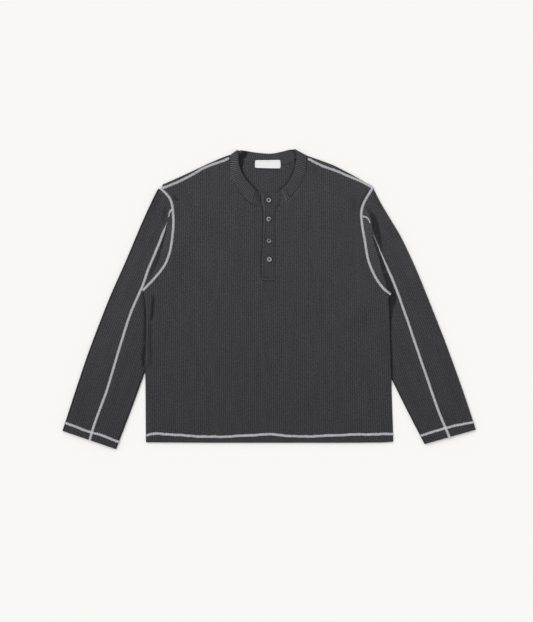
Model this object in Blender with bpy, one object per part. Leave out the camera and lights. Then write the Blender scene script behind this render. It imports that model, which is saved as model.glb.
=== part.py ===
"""Long-sleeved henley shirt in ribbed knit, laid flat on its back on a table.

Each cut piece of the shirt is one closed wall of knit. A wall is a slab over a plan outline:
one height function gives its upper face and another its lower face, and the raised ribs are
lines of the upper face. The sleeves are flattened tubes, so each has a hollow cut through it.

Frame: metres, x to the viewer's right, y from the hem to the collar, z up from the table.
The tables below are in millimetres. Left and right are the wearer's, so the sleeve on the
viewer's left is the right one. Each table names its columns, one row for each point.
"""

import math

import bmesh
import bpy
from mathutils import Vector
from mathutils.geometry import delaunay_2d_cdt

MM = 0.001

# ---------------------------------------------------------------- knit and layers
WALL = 1.5              # one layer of knit, without its ribs
RIB = 0.5               # height of a rib over the wall
RIB_PITCH = 5.0         # rib to rib
GAP = 0.3               # clearance between pieces
LAYER = WALL + GAP      # one layer up
BODY_TOP = 2 * WALL + GAP            # upper face of the front panel, between its ribs
RIB_TOP = BODY_TOP + RIB
MERGE = 0.05            # points of one outline closer than this become one
WELD = 0.03

# ---------------------------------------------------------------- body
HEM_DEPTH = 20.5        # turned-up hem and cuffs
HEM_STEP = 1.5          # the turn-up's edge eases off this far to each side of its seam
HEM_RISE = 0.7          # the turn-up lifts the upper face
SIDE_ROLL = 6.0         # the side edge rolls down over this width
SIDE_DROP = 0.9
BACK_INSET = 0.9        # the back's side and hem edges lie just inside the front's

# y, x of the side edge on the viewer's left and right, from the underarm to the hem
SIDE_COLUMNS = ("y", "viewer_left", "viewer_right")
SIDE_TABLE = (
    (21.4, -302.3, 294.6),
    (12.5, -299.4, 289.6),
    (3.0, -296.6, 284.6),
    (-36.5, -293.2, 287.2),
    (-174.2, -295.8, 291.2),
    (-341.0, -294.6, 296.8),
)
# x, y of the hem, from the viewer's left to the right
HEM = ((-294.6, -343.9), (-150.0, -344.1), (0.0, -344.1), (180.0, -344.1), (272.8, -343.5),
       (296.8, -341.1))
HEM_Y = HEM[2][1]
# x, y of each armhole seam, from the shoulder to the underarm
ARMHOLE_VIEWER_LEFT = (
    (-259.6, 264.8), (-242.3, 247.4), (-232.7, 226.6), (-229.6, 184.6),
    (-234.8, 131.0), (-250.9, 81.1), (-276.4, 48.5), (-302.3, 21.4),
)
ARMHOLE_VIEWER_RIGHT = (
    (247.4, 266.9), (230.5, 237.1), (221.4, 198.0), (226.0, 158.2),
    (237.2, 96.2), (252.8, 56.6), (272.3, 28.1), (289.6, 12.5),
)
# x, y of each shoulder seam on the front, from the neck to the armhole
SHOULDER_VIEWER_LEFT = ((-95.6, 339.1), (-163.1, 312.2), (-212.0, 285.4), (-259.6, 264.8))
SHOULDER_VIEWER_RIGHT = ((91.8, 336.7), (124.9, 320.9), (173.9, 303.6), (210.6, 287.8),
                         (247.4, 266.9))
# x, y of the shoulder fold, where the back panel wraps over to the seam
FOLD_VIEWER_LEFT = ((-95.4, 346.2), (-163.1, 317.6), (-212.0, 295.6), (-254.8, 275.5))
FOLD_VIEWER_RIGHT = ((92.4, 344.0), (149.4, 323.3), (198.4, 297.8), (244.6, 272.6))
FOLD_EDGE = 2.4         # height of the rounded edge of that fold
FOLD_ROUND = 2.5
FOLD_STEP = (0.3, 0.9)  # the fold rises between these distances past the seam

# ---------------------------------------------------------------- neck
NECK_VIEWER_LEFT = ((-95.6, 339.1), (-92.5, 304.1), (-80.0, 271.9), (-64.0, 248.9),
                    (-43.3, 229.4), (-19.0, 220.8))
NECK_VIEWER_RIGHT = ((91.8, 336.7), (87.7, 306.2), (76.2, 274.1), (60.1, 248.9),
                     (46.0, 237.4), (36.6, 231.1), (24.6, 226.1))
BACK_NECK = ((-95.2, 341.6), (-70.0, 335.2), (-5.2, 332.8), (62.0, 335.2), (92.2, 340.6))
COLLAR_EDGE_VIEWER_LEFT = ((-76.4, 358.1), (-73.1, 340.8), (-66.1, 313.2), (-50.0, 285.6),
                           (-29.4, 258.0), (-22.8, 251.0))
COLLAR_EDGE_VIEWER_RIGHT = ((61.3, 359.5), (65.9, 340.8), (62.3, 322.3), (53.2, 297.1),
                            (39.5, 276.5), (30.6, 264.6))
COLLAR_EDGE_BACK = ((-76.0, 357.9), (-41.2, 351.8), (-4.2, 349.9), (28.4, 353.3), (60.9, 359.3))
COLLAR_SEAM_BACK = ((-93.9, 345.4), (-70.0, 336.4), (-5.2, 334.0), (62.0, 336.4), (91.2, 344.1))
COLLAR_WALL = 2.4       # doubled rib
COLLAR_SEAM_TOP = 4.4   # upper face at the neck seam
COLLAR_FOLD_TOP = 4.8   # at the shoulder, where the band turns under
COLLAR_EDGE_TOP = 7.8   # the free edge stands up round the neck opening
COLLAR_LAYER = 1.9      # the underside of the front band
COLLAR_EDGE_ROUND = 0.5
COLLAR_FAN = 1.09       # the ribs fan out by this much at the neck seam
STAND_FROM = 0.35       # the edge stands fully up past this share of each front half
COLLAR_GAP = 0.45       # clearance to the front panel
COLLAR_FOLD_VIEWER_LEFT = (-94.6, 345.6)     # the seam's end at each shoulder fold
COLLAR_FOLD_VIEWER_RIGHT = (91.2, 344.4)
COLLAR_BACK_TOP = 1.7
COLLAR_BACK_PLAIN = 3   # the back's ribs stop this many half ribs short of each fold

# ---------------------------------------------------------------- placket, label, buttons
PLACKET_LEFT = -17.0    # free edge
PLACKET_RIGHT = 14.0    # sewn edge
PLACKET_FOOT = 47.8
SLIT_TOP = 219.0
PLACKET_LAP = 5.0       # the top strip covers the slit's edges by this much
# x, y of the strip's upper end, from its free edge round to its sewn edge
PLACKET_TOP_OUTLINE = ((-16.7, 248.7), (6.1, 253.0), (20.3, 254.4), (29.9, 263.4), (23.8, 226.3),
                       (14.0, 221.3))
PLACKET_LIFT = 2.2      # the strip rises with the collar at its top
PLACKET_LIFT_FROM = 222.0
PLACKET_LIFT_TO = 262.0
PLACKET_ROWS = (224.0, 232.0, 240.0, 248.0)  # rows of the strip where it rises
EDGE_PLAIN = 1.0        # no ribs this close to the strip's edges
# x, y of the inner strip's upper corner, which shows beside the outer strip
UNDER_CORNER = ((-8.0, 249.6), (-17.0, 248.8), (-21.9, 250.8), (-20.0, 236.0), (-18.0, 224.0))
UNDER_RISE = 0.8
UNDER_RISE_FROM = 236.0
UNDER_RISE_LENGTH = 12.0
BUTTON_CENTRES = ((-1.0, 237.1), (-0.6, 192.0), (-0.6, 139.9), (0.6, 95.0))
BUTTON_RADIUS = 6.2
BUTTON_HOLE_RADIUS = 0.85
BUTTON_HOLE_SPREAD = 1.7
BUTTON_SEGMENTS = 20
BORE_SEGMENTS = 6
# radius, height: half section of a button from its upper middle round to its lower middle
BUTTON_SECTION = ((2.9, 1.5), (3.9, 2.0), (4.7, 2.6), (5.6, 2.6), (6.2, 2.0), (6.2, 1.0),
                  (5.2, 0.0))
# radius, height of the cutter for one of its holes, past both faces
BORE_SECTION = ((0.01, 3.4), (BUTTON_HOLE_RADIUS, 3.4), (BUTTON_HOLE_RADIUS, -1.0), (0.01, -1.0))
LABEL_SIZE = (62.0, 20.6)
LABEL_CENTRE = (-3.0, 321.6)
LABEL_WALL = 0.7

# ---------------------------------------------------------------- sleeves
SLEEVE_FLAT = BODY_TOP + 0.1     # two layers pressed together under the body
SLEEVE_CREST = 4.9               # upper face where the sleeve lies free
SLEEVE_EDGE = 1.4                # where the folded edge starts to round
SLEEVE_ROUND = 9.0               # width of that rounding
SLEEVE_SOFT = 16.0               # rise from the body to the crest
RIM_RISE = 7.9                   # the outer fold's rounding would end at this height
RIM_ROUND = 12.0
SLEEVE_COLUMNS = 54              # half ribs across a sleeve
SLEEVE_PLAIN_BELOW = -80.0       # no folds below this, so its rows lie far apart
SLEEVE_SIDE_TO = -200.0          # the body's side edge is beside the sleeve down to here
NOTCH_FADE = 40.0                # how soon the inner fold takes shape below the body
CREASE_FADE = 26.0
TUCK_LIFT = SLEEVE_FLAT + 0.7    # how far a tucked sleeve lifts the body over it
TUCK_SPREAD = 34.0               # the body comes back down over this width
FRONT_LIFT = 1.04                # the front panel bends a little further than the back
CUT_INSET = 2.3                  # wall left between the hollow and a folded edge
CUT_PAST_CUFF = 9.0              # the hollow's cutter runs out this far past the cuff
CUT_PAST_ARMHOLE = 5.0
CUT_LATTICE = 24.0
CUT_FLOOR = WALL
CUT_LEAST = 0.4

# x, y of each sleeve's outer fold, from the shoulder to the cuff
OUTER_VIEWER_LEFT = ((-267.0, 264.2), (-283.0, 232.0), (-309.0, 174.5), (-345.5, 88.1),
                     (-384.0, 1.0), (-428.4, -113.5), (-458.2, -199.9), (-495.85, -315.4))
OUTER_VIEWER_RIGHT = ((248.8, 268.5), (267.2, 232.1), (292.9, 188.9), (318.2, 145.7),
                      (351.9, 73.7), (381.5, 1.7), (426.7, -113.5), (468.1, -228.7),
                      (495.85, -312.5))
# x, y of the inner fold, from the cuff to where the sleeve goes under the body
INNER_VIEWER_LEFT = ((-367.1, -359.5), (-332.0, -268.0), (-295.7, -168.7))
INNER_VIEWER_RIGHT = ((372.6, -347.3), (331.6, -268.0), (291.4, -190.3))
# x, y of the part tucked under the body, from the inner fold up to the side edge
TUCK_VIEWER_LEFT = ((-295.7, -168.7), (-278.4, -121.9), (-272.6, -73.9), (-280.2, -30.7),
                    (-297.0, 0.0))
TUCK_VIEWER_RIGHT = ((291.4, -190.3), (268.0, -133.9), (261.2, -85.9), (266.4, -37.9),
                     (284.4, 0.0))
# x, y of the crease beside the armhole, where the sleeve folds over its own underarm
CREASE_VIEWER_LEFT = ((-241.6, 180.5), (-250.0, 151.7), (-258.6, 121.7), (-268.0, 89.8),
                      (-277.1, 74.4), (-289.8, 49.2))
CREASE_VIEWER_RIGHT = ((236.8, 215.8), (249.0, 186.0), (256.0, 150.0), (261.0, 112.0),
                       (272.0, 84.0), (282.4, 54.7), (290.5, 31.9), (296.0, 4.3))
CREASE_DEPTH = {"viewer_left": 0.7, "viewer_right": 1.3}
CREASE_WIDTH = {"viewer_left": 4.0, "viewer_right": 7.0}
FOLD_RISE = {"viewer_left": 1.2, "viewer_right": 0.8}
FOLD_WIDTH = 16.0


# ================================================================ plain maths
def smooth(t):
    """Rise from 0 to 1 with no slope at either end."""
    t = min(max(t, 0.0), 1.0)
    return t * t * (3.0 - 2.0 * t)


def round_over(t):
    """Quarter-round rise from 0 at the edge to 1."""
    t = min(max(t, 0.0), 1.0)
    return math.sqrt(1.0 - (1.0 - t) ** 2)


def curve(points, step=9.0):
    """Sample a smooth curve through the points, about one sample for each step."""
    ends = [tuple(2 * points[0][i] - points[1][i] for i in (0, 1))]
    tail = [tuple(2 * points[-1][i] - points[-2][i] for i in (0, 1))]
    knots = ends + list(points) + tail
    out = []
    for a, b, c, d in zip(knots, knots[1:], knots[2:], knots[3:]):
        count = max(1, round(math.dist(b, c) / step))
        for k in range(count):
            t = k / count
            out.append(tuple(
                0.5 * (2 * b[i] + (c[i] - a[i]) * t
                       + (2 * a[i] - 5 * b[i] + 4 * c[i] - d[i]) * t ** 2
                       + (3 * b[i] - a[i] - 3 * c[i] + d[i]) * t ** 3)
                for i in (0, 1)))
    return out + [tuple(points[-1])]


def curve_length(points):
    """Length of the smooth curve through the points."""
    samples = curve(points)
    return sum(math.dist(a, b) for a, b in zip(samples, samples[1:]))


def even(points, count):
    """Points at even distances along a line, one more than count."""
    lengths = [0.0]
    for a, b in zip(points, points[1:]):
        lengths.append(lengths[-1] + math.dist(a, b))
    out = []
    for k in range(count + 1):
        want = lengths[-1] * k / count
        i = max(j for j in range(len(points) - 1) if lengths[j] <= want + 1e-9)
        t = (want - lengths[i]) / (lengths[i + 1] - lengths[i])
        out.append(tuple(points[i][n] + t * (points[i + 1][n] - points[i][n]) for n in (0, 1)))
    return out


def nearest(line, x, y):
    """Distance to a line of points, the nearest place on it, and the side that (x, y) is on.

    The side is +1 to the left of the line's direction and -1 to its right.
    """
    best = (math.inf, 0.0, 0.0, 1.0)
    for (ax, ay), (bx, by) in zip(line, line[1:]):
        dx, dy = bx - ax, by - ay
        t = ((x - ax) * dx + (y - ay) * dy) / (dx * dx + dy * dy)
        t = min(max(t, 0.0), 1.0)
        px, py = ax + t * dx, ay + t * dy
        d = math.hypot(x - px, y - py)
        if d < best[0] - 1e-9:
            best = (d, px, py, 1.0 if dx * (y - ay) - dy * (x - ax) >= 0 else -1.0)
    return best


def offset(line, distance):
    """Move a line sideways, to the left of its direction for a positive distance."""
    out = []
    for i, (x, y) in enumerate(line):
        a, b = line[max(i - 1, 0)], line[min(i + 1, len(line) - 1)]
        length = math.dist(a, b)
        out.append((x - (b[1] - a[1]) / length * distance, y + (b[0] - a[0]) / length * distance))
    return out


def wave(phase):
    """Rib section: 0 at even phases and 1 at odd ones."""
    return 1.0 - abs(1.0 - phase % 2.0)


def on_table(table, y, column):
    """Read one column of a table of rows that go down in y, held level past its ends."""
    if y >= table[0][0]:
        return table[0][column]
    for low, high in zip(table[1:], table):
        if y >= low[0]:
            t = (high[0] - y) / (high[0] - low[0])
            return high[column] + t * (low[column] - high[column])
    return table[-1][column]


# ================================================================ mesh building
def finish(name, mesh_data, colour, roughness):
    """Make a named object of vertices and faces in millimetres, with its own material."""
    verts, faces = mesh_data
    mesh = bpy.data.meshes.new(name)
    mesh.from_pydata([(x * MM, y * MM, z * MM) for x, y, z in verts], [], faces)
    mesh.validate()
    material = bpy.data.materials.new(name + "_finish")
    material.use_nodes = True
    shader = material.node_tree.nodes["Principled BSDF"]
    shader.inputs["Base Color"].default_value = (*colour, 1.0)
    shader.inputs["Roughness"].default_value = roughness
    shader.inputs["Metallic"].default_value = 0.0
    mesh.materials.append(material)
    obj = bpy.data.objects.new(name, mesh)
    bpy.context.collection.objects.link(obj)
    return obj


KNIT = ((0.045, 0.044, 0.048), 0.9)
BUTTON_FINISH = ((0.42, 0.42, 0.43), 0.25)
LABEL_FINISH = ((0.82, 0.81, 0.84), 0.7)


def triangulate(ring, lines, spots):
    """Triangles of a plan outline that keep to the given lines and spots.

    Lines and spots may run past the outline: what lies outside is dropped.
    """
    points = [Vector(p) for p in ring]
    edges = []
    for line in lines:
        first = len(points)
        points += [Vector(p) for p in line]
        edges += [(i, i + 1) for i in range(first, first + len(line) - 1)]
    points += [Vector(p) for p in spots]
    found = delaunay_2d_cdt(points, edges, [list(range(len(ring)))], 0, MERGE, True)
    places, _, triangles, _, _, owners = found
    return places, [tuple(t) for t, owner in zip(triangles, owners) if owner]


def border(triangles):
    """The closed loop of edges that only one triangle uses, in the triangles' direction."""
    used = {(t[i], t[(i + 1) % 3]) for t in triangles for i in range(3)}
    after = {a: b for a, b in used if (b, a) not in used}
    loop = [next(iter(sorted(after)))]
    while after[loop[-1]] != loop[0]:
        loop.append(after[loop[-1]])
    return loop


def slab(ring, top, bottom, lines=(), spots=(), under_spots=()):
    """Close a wall between two height functions over one plan outline."""
    if sum(a[0] * b[1] - b[0] * a[1] for a, b in zip(ring, ring[1:] + ring[:1])) < 0:
        ring = ring[::-1]
    places, upper = triangulate(ring, lines, spots)
    loop = border(upper)
    keep = sorted({i for t in upper for i in t})
    index = {old: new for new, old in enumerate(keep)}
    verts = [(places[i].x, places[i].y, top(places[i].x, places[i].y)) for i in keep]
    faces = [tuple(index[i] for i in t) for t in upper]
    rim = [index[i] for i in loop]

    edge = [verts[i][:2] for i in rim]
    points = [Vector(p) for p in edge] + [Vector(p) for p in under_spots]
    found = delaunay_2d_cdt(points, [], [list(range(len(edge)))], 0, 1e-4, True)
    low_places, _, low, sources, _, owners = found
    low = [t for t, owner in zip(low, owners) if owner]
    low_index = {}
    low_rim = [None] * len(edge)
    for i in sorted({i for t in low for i in t}):
        x, y = low_places[i]
        low_index[i] = len(verts)
        for source in sources[i]:
            if source < len(edge):
                low_rim[source] = len(verts)
                x, y = edge[source]
        verts.append((x, y, bottom(x, y)))
    faces += [tuple(low_index[i] for i in reversed(t)) for t in low]
    for i in range(len(rim)):
        j = (i + 1) % len(rim)
        faces.append((rim[j], rim[i], low_rim[i], low_rim[j]))
    return verts, faces


def lattice(x_range, y_range, step):
    """Loose points on a square grid."""
    nx = round((x_range[1] - x_range[0]) / step)
    ny = round((y_range[1] - y_range[0]) / step)
    return [(x_range[0] + i * step, y_range[0] + j * step + (0.5 * step if i % 2 else 0.0))
            for i in range(nx + 1) for j in range(ny + 1)]


def strip(inner, outer, tops, bottoms):
    """Close a band between two curves, with a section at each pair of their points.

    tops and bottoms are functions of the section's number and of the place across it,
    from 0 at the outer curve to 1 at the inner one.
    """
    section = [(0.0, bottoms), (0.0, tops), (0.14, tops), (0.86, tops), (1.0, tops),
               (1.0, bottoms)]
    verts, faces = [], []
    for k, (a, b) in enumerate(zip(outer, inner)):
        for t, height in section:
            verts.append((a[0] + t * (b[0] - a[0]), a[1] + t * (b[1] - a[1]), height(k, t)))
    n = len(section)
    for k in range(len(inner) - 1):
        now, then = n * k, n * (k + 1)
        for i in range(n):
            j = (i + 1) % n
            faces.append((now + i, now + j, then + j, then + i))
    last = n * (len(inner) - 1)
    faces.append(tuple(range(n)))
    faces.append(tuple(last + i for i in reversed(range(n))))
    return verts, faces


def point_outwards(obj):
    """Recalculate a closed mesh's normals so that they point out."""
    work = bmesh.new()
    work.from_mesh(obj.data)
    bmesh.ops.recalc_face_normals(work, faces=work.faces)
    work.to_mesh(obj.data)
    work.free()


def combine(target, other, operation):
    """Join or cut with another object, which is kept as a hidden guide."""
    change = target.modifiers.new(operation.title() + "_" + other.name, "BOOLEAN")
    change.operation = operation
    change.solver = "EXACT"
    change.object = other
    other.hide_render = True
    other.display_type = "WIRE"


def weld(obj):
    """Close the hair-thin edges that a cut can leave."""
    join = obj.modifiers.new("Weld", "WELD")
    join.merge_threshold = WELD * MM


# ================================================================ shared heights
TUCK = {
    "viewer_left": curve(TUCK_VIEWER_LEFT),
    "viewer_right": curve(TUCK_VIEWER_RIGHT),
}
OUTWARD = {"viewer_left": -1.0, "viewer_right": 1.0}
UNDERARM_Y = {"viewer_left": 21.4, "viewer_right": 12.5}
SIDE_ROWS = [-15.0 * k for k in range(16)] + [-260.0, -341.0]   # places along a side edge


def side_x(side, y):
    """Where the body's side edge is at one height."""
    return on_table(SIDE_TABLE, y, SIDE_COLUMNS.index(side))


def side_run(side, inset=0.0):
    """Points down the body's side edge, from the underarm to the hem."""
    rows = [UNDERARM_Y[side], 0.5 * UNDERARM_Y[side]] + SIDE_ROWS
    return [(side_x(side, y) - OUTWARD[side] * inset, y) for y in rows]


SIDE = {side: side_run(side) for side in OUTWARD}


def lift(x, y):
    """How far the sleeves that are tucked under the body raise it."""
    height = 0.0
    for side, tuck in TUCK.items():
        distance, _, _, turn = nearest(tuck, x, y)
        within = tuck[0][1] < y < tuck[-1][1]
        over = within and turn == -OUTWARD[side]
        spread = 0.0 if over else distance
        height = max(height, TUCK_LIFT * smooth(1.0 - spread / TUCK_SPREAD))
    return height


COLUMN_COUNT = 234      # half ribs across the body
BODY_LEFT_X = -294.5
BODY_RIGHT_X = 290.0
COLUMN = (BODY_RIGHT_X - BODY_LEFT_X) / COLUMN_COUNT
LEAN_WIDTH = 120.0      # ribs this close to a side edge follow its line
LIFT_WIDTH = 60.0       # the tucked sleeves lift the body this far in from a side edge
LIFT_ROWS = [-200.0 + 15.0 * k for k in range(18)] + [120.0]
LIFT_LATTICE = 11.0
BELOW_ALL, ABOVE_ALL = -360.0, 360.0


def lean(x, y):
    """Sideways shift of the ribs at one place, so that they follow the side edges."""
    low_y = min(y, 3.0)
    near_left = smooth(1.0 - (x - BODY_LEFT_X) / LEAN_WIDTH)
    near_right = smooth(1.0 - (BODY_RIGHT_X - x) / LEAN_WIDTH)
    return (near_left * (side_x("viewer_left", low_y) - BODY_LEFT_X)
            + near_right * (side_x("viewer_right", low_y) - BODY_RIGHT_X))


def rib_phase(x, y):
    """Number of the half rib at one place of the body."""
    straight = x
    for _ in range(4):
        straight = x - lean(straight, y)
    return (straight - BODY_LEFT_X) / COLUMN


def rib_lines(first_x, last_x, rows_at):
    """Crest and valley lines of the body's ribs, with the rows that each one needs."""
    first = math.ceil((first_x - BODY_LEFT_X) / COLUMN)
    last = math.floor((last_x - BODY_LEFT_X) / COLUMN)
    lines = []
    for k in range(first, last + 1):
        x = BODY_LEFT_X + k * COLUMN
        lines.append([(x + lean(x, y), y) for y in rows_at(x)])
    return lines


def front_height(x, y):
    """Upper face of the front panel without its ribs."""
    edge = min(nearest(line, x, y)[0] for line in SIDE.values())
    drop = SIDE_DROP * (1.0 - round_over(edge / SIDE_ROLL))
    hem = HEM_RISE * smooth((HEM_Y + HEM_DEPTH + HEM_STEP - y) / (2.0 * HEM_STEP))
    return BODY_TOP + FRONT_LIFT * lift(x, y) - drop + hem


# ================================================================ body pieces
def ring_of(*runs):
    """Chain runs of points into one outline, without repeats."""
    ring = []
    for run in runs:
        for point in run:
            if not ring or math.dist(ring[-1], point) > 1.0:
                ring.append(tuple(point))
    if math.dist(ring[0], ring[-1]) < 1.0:
        ring.pop()
    return ring


def body_rows(x):
    """Rows of a rib line: close together where the tucked sleeves lift the body."""
    near_side = min(x - BODY_LEFT_X, BODY_RIGHT_X - x)
    hem = [HEM_Y + HEM_DEPTH - HEM_STEP, HEM_Y + HEM_DEPTH + HEM_STEP]
    inner = LIFT_ROWS if near_side < LIFT_WIDTH else [0.0]
    return [BELOW_ALL] + hem + inner + [ABOVE_ALL]


def lifted_spots():
    """Loose points wherever a tucked sleeve lifts the body."""
    grid = lattice((-330.0, 330.0), (-220.0, 70.0), LIFT_LATTICE)
    return [p for p in grid if lift(*p) > 0.0]


def body_front():
    """Front panel, slit for the placket."""
    slit_left, slit_right = PLACKET_LEFT + PLACKET_LAP, PLACKET_RIGHT - PLACKET_LAP
    foot = PLACKET_FOOT + PLACKET_LAP
    ring = ring_of(
        SIDE["viewer_left"],
        HEM,
        SIDE["viewer_right"][::-1],
        curve(ARMHOLE_VIEWER_RIGHT, 12.0)[::-1],
        curve(SHOULDER_VIEWER_RIGHT, 16.0)[::-1],
        curve(NECK_VIEWER_RIGHT, 8.0)[:-1],
        [NECK_VIEWER_RIGHT[-1], (slit_right, SLIT_TOP), (slit_right, foot), (slit_left, foot),
         (slit_left, SLIT_TOP)],
        curve(NECK_VIEWER_LEFT, 8.0)[::-1],
        curve(SHOULDER_VIEWER_LEFT, 16.0),
        curve(ARMHOLE_VIEWER_LEFT, 12.0),
    )
    mesh = slab(
        ring,
        lambda x, y: front_height(x, y) + RIB * wave(rib_phase(x, y)),
        lambda x, y: LAYER + FRONT_LIFT * lift(x, y),
        rib_lines(BODY_LEFT_X + 0.1, BODY_RIGHT_X - 0.1, body_rows),
        (),
        lifted_spots(),
    )
    return finish("body_front", mesh, *KNIT)


def shoulder_step(x, y):
    """Height of the back panel: thin inside, thick where it folds over at the shoulder."""
    for seam, fold, turn in ((SHOULDER_VIEWER_LEFT, FOLD_VIEWER_LEFT, -1.0),
                             (SHOULDER_VIEWER_RIGHT, FOLD_VIEWER_RIGHT, 1.0)):
        past, _, _, way = nearest(curve(seam, 16.0), x, y)
        to_end = min(math.dist(seam[0], (x, y)), math.dist(seam[-1], (x, y)))
        beyond = not min(seam[0][0], seam[-1][0]) < x < max(seam[0][0], seam[-1][0])
        if way != turn or beyond:
            continue
        rise = (past - FOLD_STEP[0]) / (FOLD_STEP[1] - FOLD_STEP[0])
        to_edge = nearest(curve(fold, 16.0), x, y)[0]
        crown = FOLD_EDGE + (RIB_TOP - FOLD_EDGE) * round_over(to_edge / FOLD_ROUND)
        strength = min(max(rise, 0.0), 1.0) * smooth((to_end - 2.0) / 12.0)
        return WALL + (crown - WALL) * strength
    return WALL


def body_back():
    """Back panel, flat on the table but for the tucks and the shoulder folds."""
    ring = ring_of(
        side_run("viewer_left", BACK_INSET),
        [(x, y + BACK_INSET) for x, y in HEM[1:-1]],
        side_run("viewer_right", BACK_INSET)[::-1],
        curve(ARMHOLE_VIEWER_RIGHT, 12.0)[::-1],
        curve(FOLD_VIEWER_RIGHT, 14.0)[::-1],
        curve(BACK_NECK, 12.0)[::-1],
        curve(FOLD_VIEWER_LEFT, 14.0),
        curve(ARMHOLE_VIEWER_LEFT, 12.0),
    )
    lines = []
    for seam, turn in ((SHOULDER_VIEWER_LEFT, -1.0), (SHOULDER_VIEWER_RIGHT, 1.0)):
        for past in FOLD_STEP:
            lines.append(offset(curve(seam, 16.0), turn * past))
    spots = lifted_spots()
    mesh = slab(ring, lambda x, y: shoulder_step(x, y) + lift(x, y), lift, lines, spots, spots)
    return finish("body_back", mesh, *KNIT)


# ================================================================ sleeves
SLEEVE = {
    "viewer_left": dict(outer=OUTER_VIEWER_LEFT, inner=INNER_VIEWER_LEFT,
                        tuck=TUCK_VIEWER_LEFT, armhole=ARMHOLE_VIEWER_LEFT,
                        crease=CREASE_VIEWER_LEFT),
    "viewer_right": dict(outer=OUTER_VIEWER_RIGHT, inner=INNER_VIEWER_RIGHT,
                         tuck=TUCK_VIEWER_RIGHT, armhole=ARMHOLE_VIEWER_RIGHT,
                         crease=CREASE_VIEWER_RIGHT),
}


def sleeve_base(side):
    """Height function of a sleeve's upper face without its ribs, and its rib strength."""
    rows = SLEEVE[side]
    outer = curve(rows["outer"], 20.0)
    armhole = curve(rows["armhole"], 12.0)
    inner = curve(rows["inner"], 40.0)
    crease = curve(rows["crease"], 12.0)
    body_side = [p for p in SIDE[side] if p[1] > SLEEVE_SIDE_TO]
    underarm_y, notch_y = armhole[-1][1], inner[-1][1]
    cuff = [outer[-1], inner[0]]
    away = OUTWARD[side]

    def heights(x, y):
        hidden = notch_y < y < underarm_y and (x - side_x(side, y)) * away < 0.0
        to_outer = nearest(outer, x, y)[0]
        to_arm = nearest(armhole, x, y)
        to_side = nearest(body_side, x, y)
        to_inner = nearest(inner, x, y)[0]
        if hidden:
            return SLEEVE_FLAT, 0.0
        from_body = min(to_arm[0], to_side[0])
        if to_arm[0] <= to_side[0]:
            start = SLEEVE_FLAT + lift(to_arm[1], to_arm[2])
        else:
            raised = smooth((to_side[2] - 2.0) / (underarm_y - 2.0))
            start = SLEEVE_FLAT + TUCK_LIFT * raised
        beside = start + (SLEEVE_CREST - start) * smooth(from_body / SLEEVE_SOFT)
        free = SLEEVE_EDGE + (SLEEVE_CREST - SLEEVE_EDGE) * round_over(to_inner / SLEEVE_ROUND)
        blend = smooth((notch_y - y) / NOTCH_FADE + 0.35)
        inner_side = beside + (free - beside) * blend
        rim = SLEEVE_EDGE + (RIM_RISE - SLEEVE_EDGE) * round_over(to_outer / RIM_ROUND)
        height = min(inner_side, rim)
        past, _, _, turn = nearest(crease, x, y)
        ends = smooth((crease[0][1] - y) / CREASE_FADE + 0.5)
        ends *= smooth((y - crease[-1][1]) / CREASE_FADE + 0.5)
        folded_over = FOLD_RISE[side] * math.exp(-(past / FOLD_WIDTH) ** 2) if turn == away else 0.0
        valley = CREASE_DEPTH[side] * math.exp(-(past / CREASE_WIDTH[side]) ** 2)
        height += ends * (folded_over * smooth(past / 4.0) - valley)
        height = max(height, SLEEVE_EDGE)
        hem_distance = nearest(cuff, x, y)[0]
        turned_up = smooth((HEM_DEPTH + HEM_STEP - hem_distance) / (2.0 * HEM_STEP))
        height += HEM_RISE * turned_up * smooth(to_outer / SIDE_ROLL)
        return height, smooth(from_body / 5.0)

    return heights


def sleeve_ring(side):
    """Plan outline of a sleeve, from the shoulder down its outer fold and back up."""
    rows = SLEEVE[side]
    away = OUTWARD[side]
    beside_body = [(side_x(side, y) + away * 0.5, y)
                   for y in (0.1 * UNDERARM_Y[side], 0.55 * UNDERARM_Y[side])]
    seam = offset(curve(rows["armhole"], 12.0)[::-1], -away * 0.35)
    return (curve(rows["outer"], 30.0), curve(rows["inner"], 45.0), curve(rows["tuck"], 14.0)[:-1],
            beside_body, seam)


def sleeve_lines(side, inward):
    """Crest and valley lines along a sleeve, and the two rows at its cuff's turn-up."""
    edge = curve(SLEEVE[side]["outer"], 36.0)
    upper = [p for p in edge if p[1] > SLEEVE_PLAIN_BELOW]
    lower = even([p for p in edge if p[1] < SLEEVE_PLAIN_BELOW + 20.0], 3)
    first, last = Vector(upper[0]), Vector(lower[-1])
    before = first + (first - Vector(upper[1])) * 1.5
    after = last + (last - Vector(lower[-2])) * 0.3
    reach = [tuple(before)] + upper + lower + [tuple(after)]
    lines = [offset(reach, inward * 0.5 * RIB_PITCH * k) for k in range(1, SLEEVE_COLUMNS)]
    cuff = [SLEEVE[side]["outer"][-1], SLEEVE[side]["inner"][0]]
    for depth in (HEM_DEPTH - HEM_STEP, HEM_DEPTH + HEM_STEP):
        lines.append(offset(cuff, inward * depth))
    return lines


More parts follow.
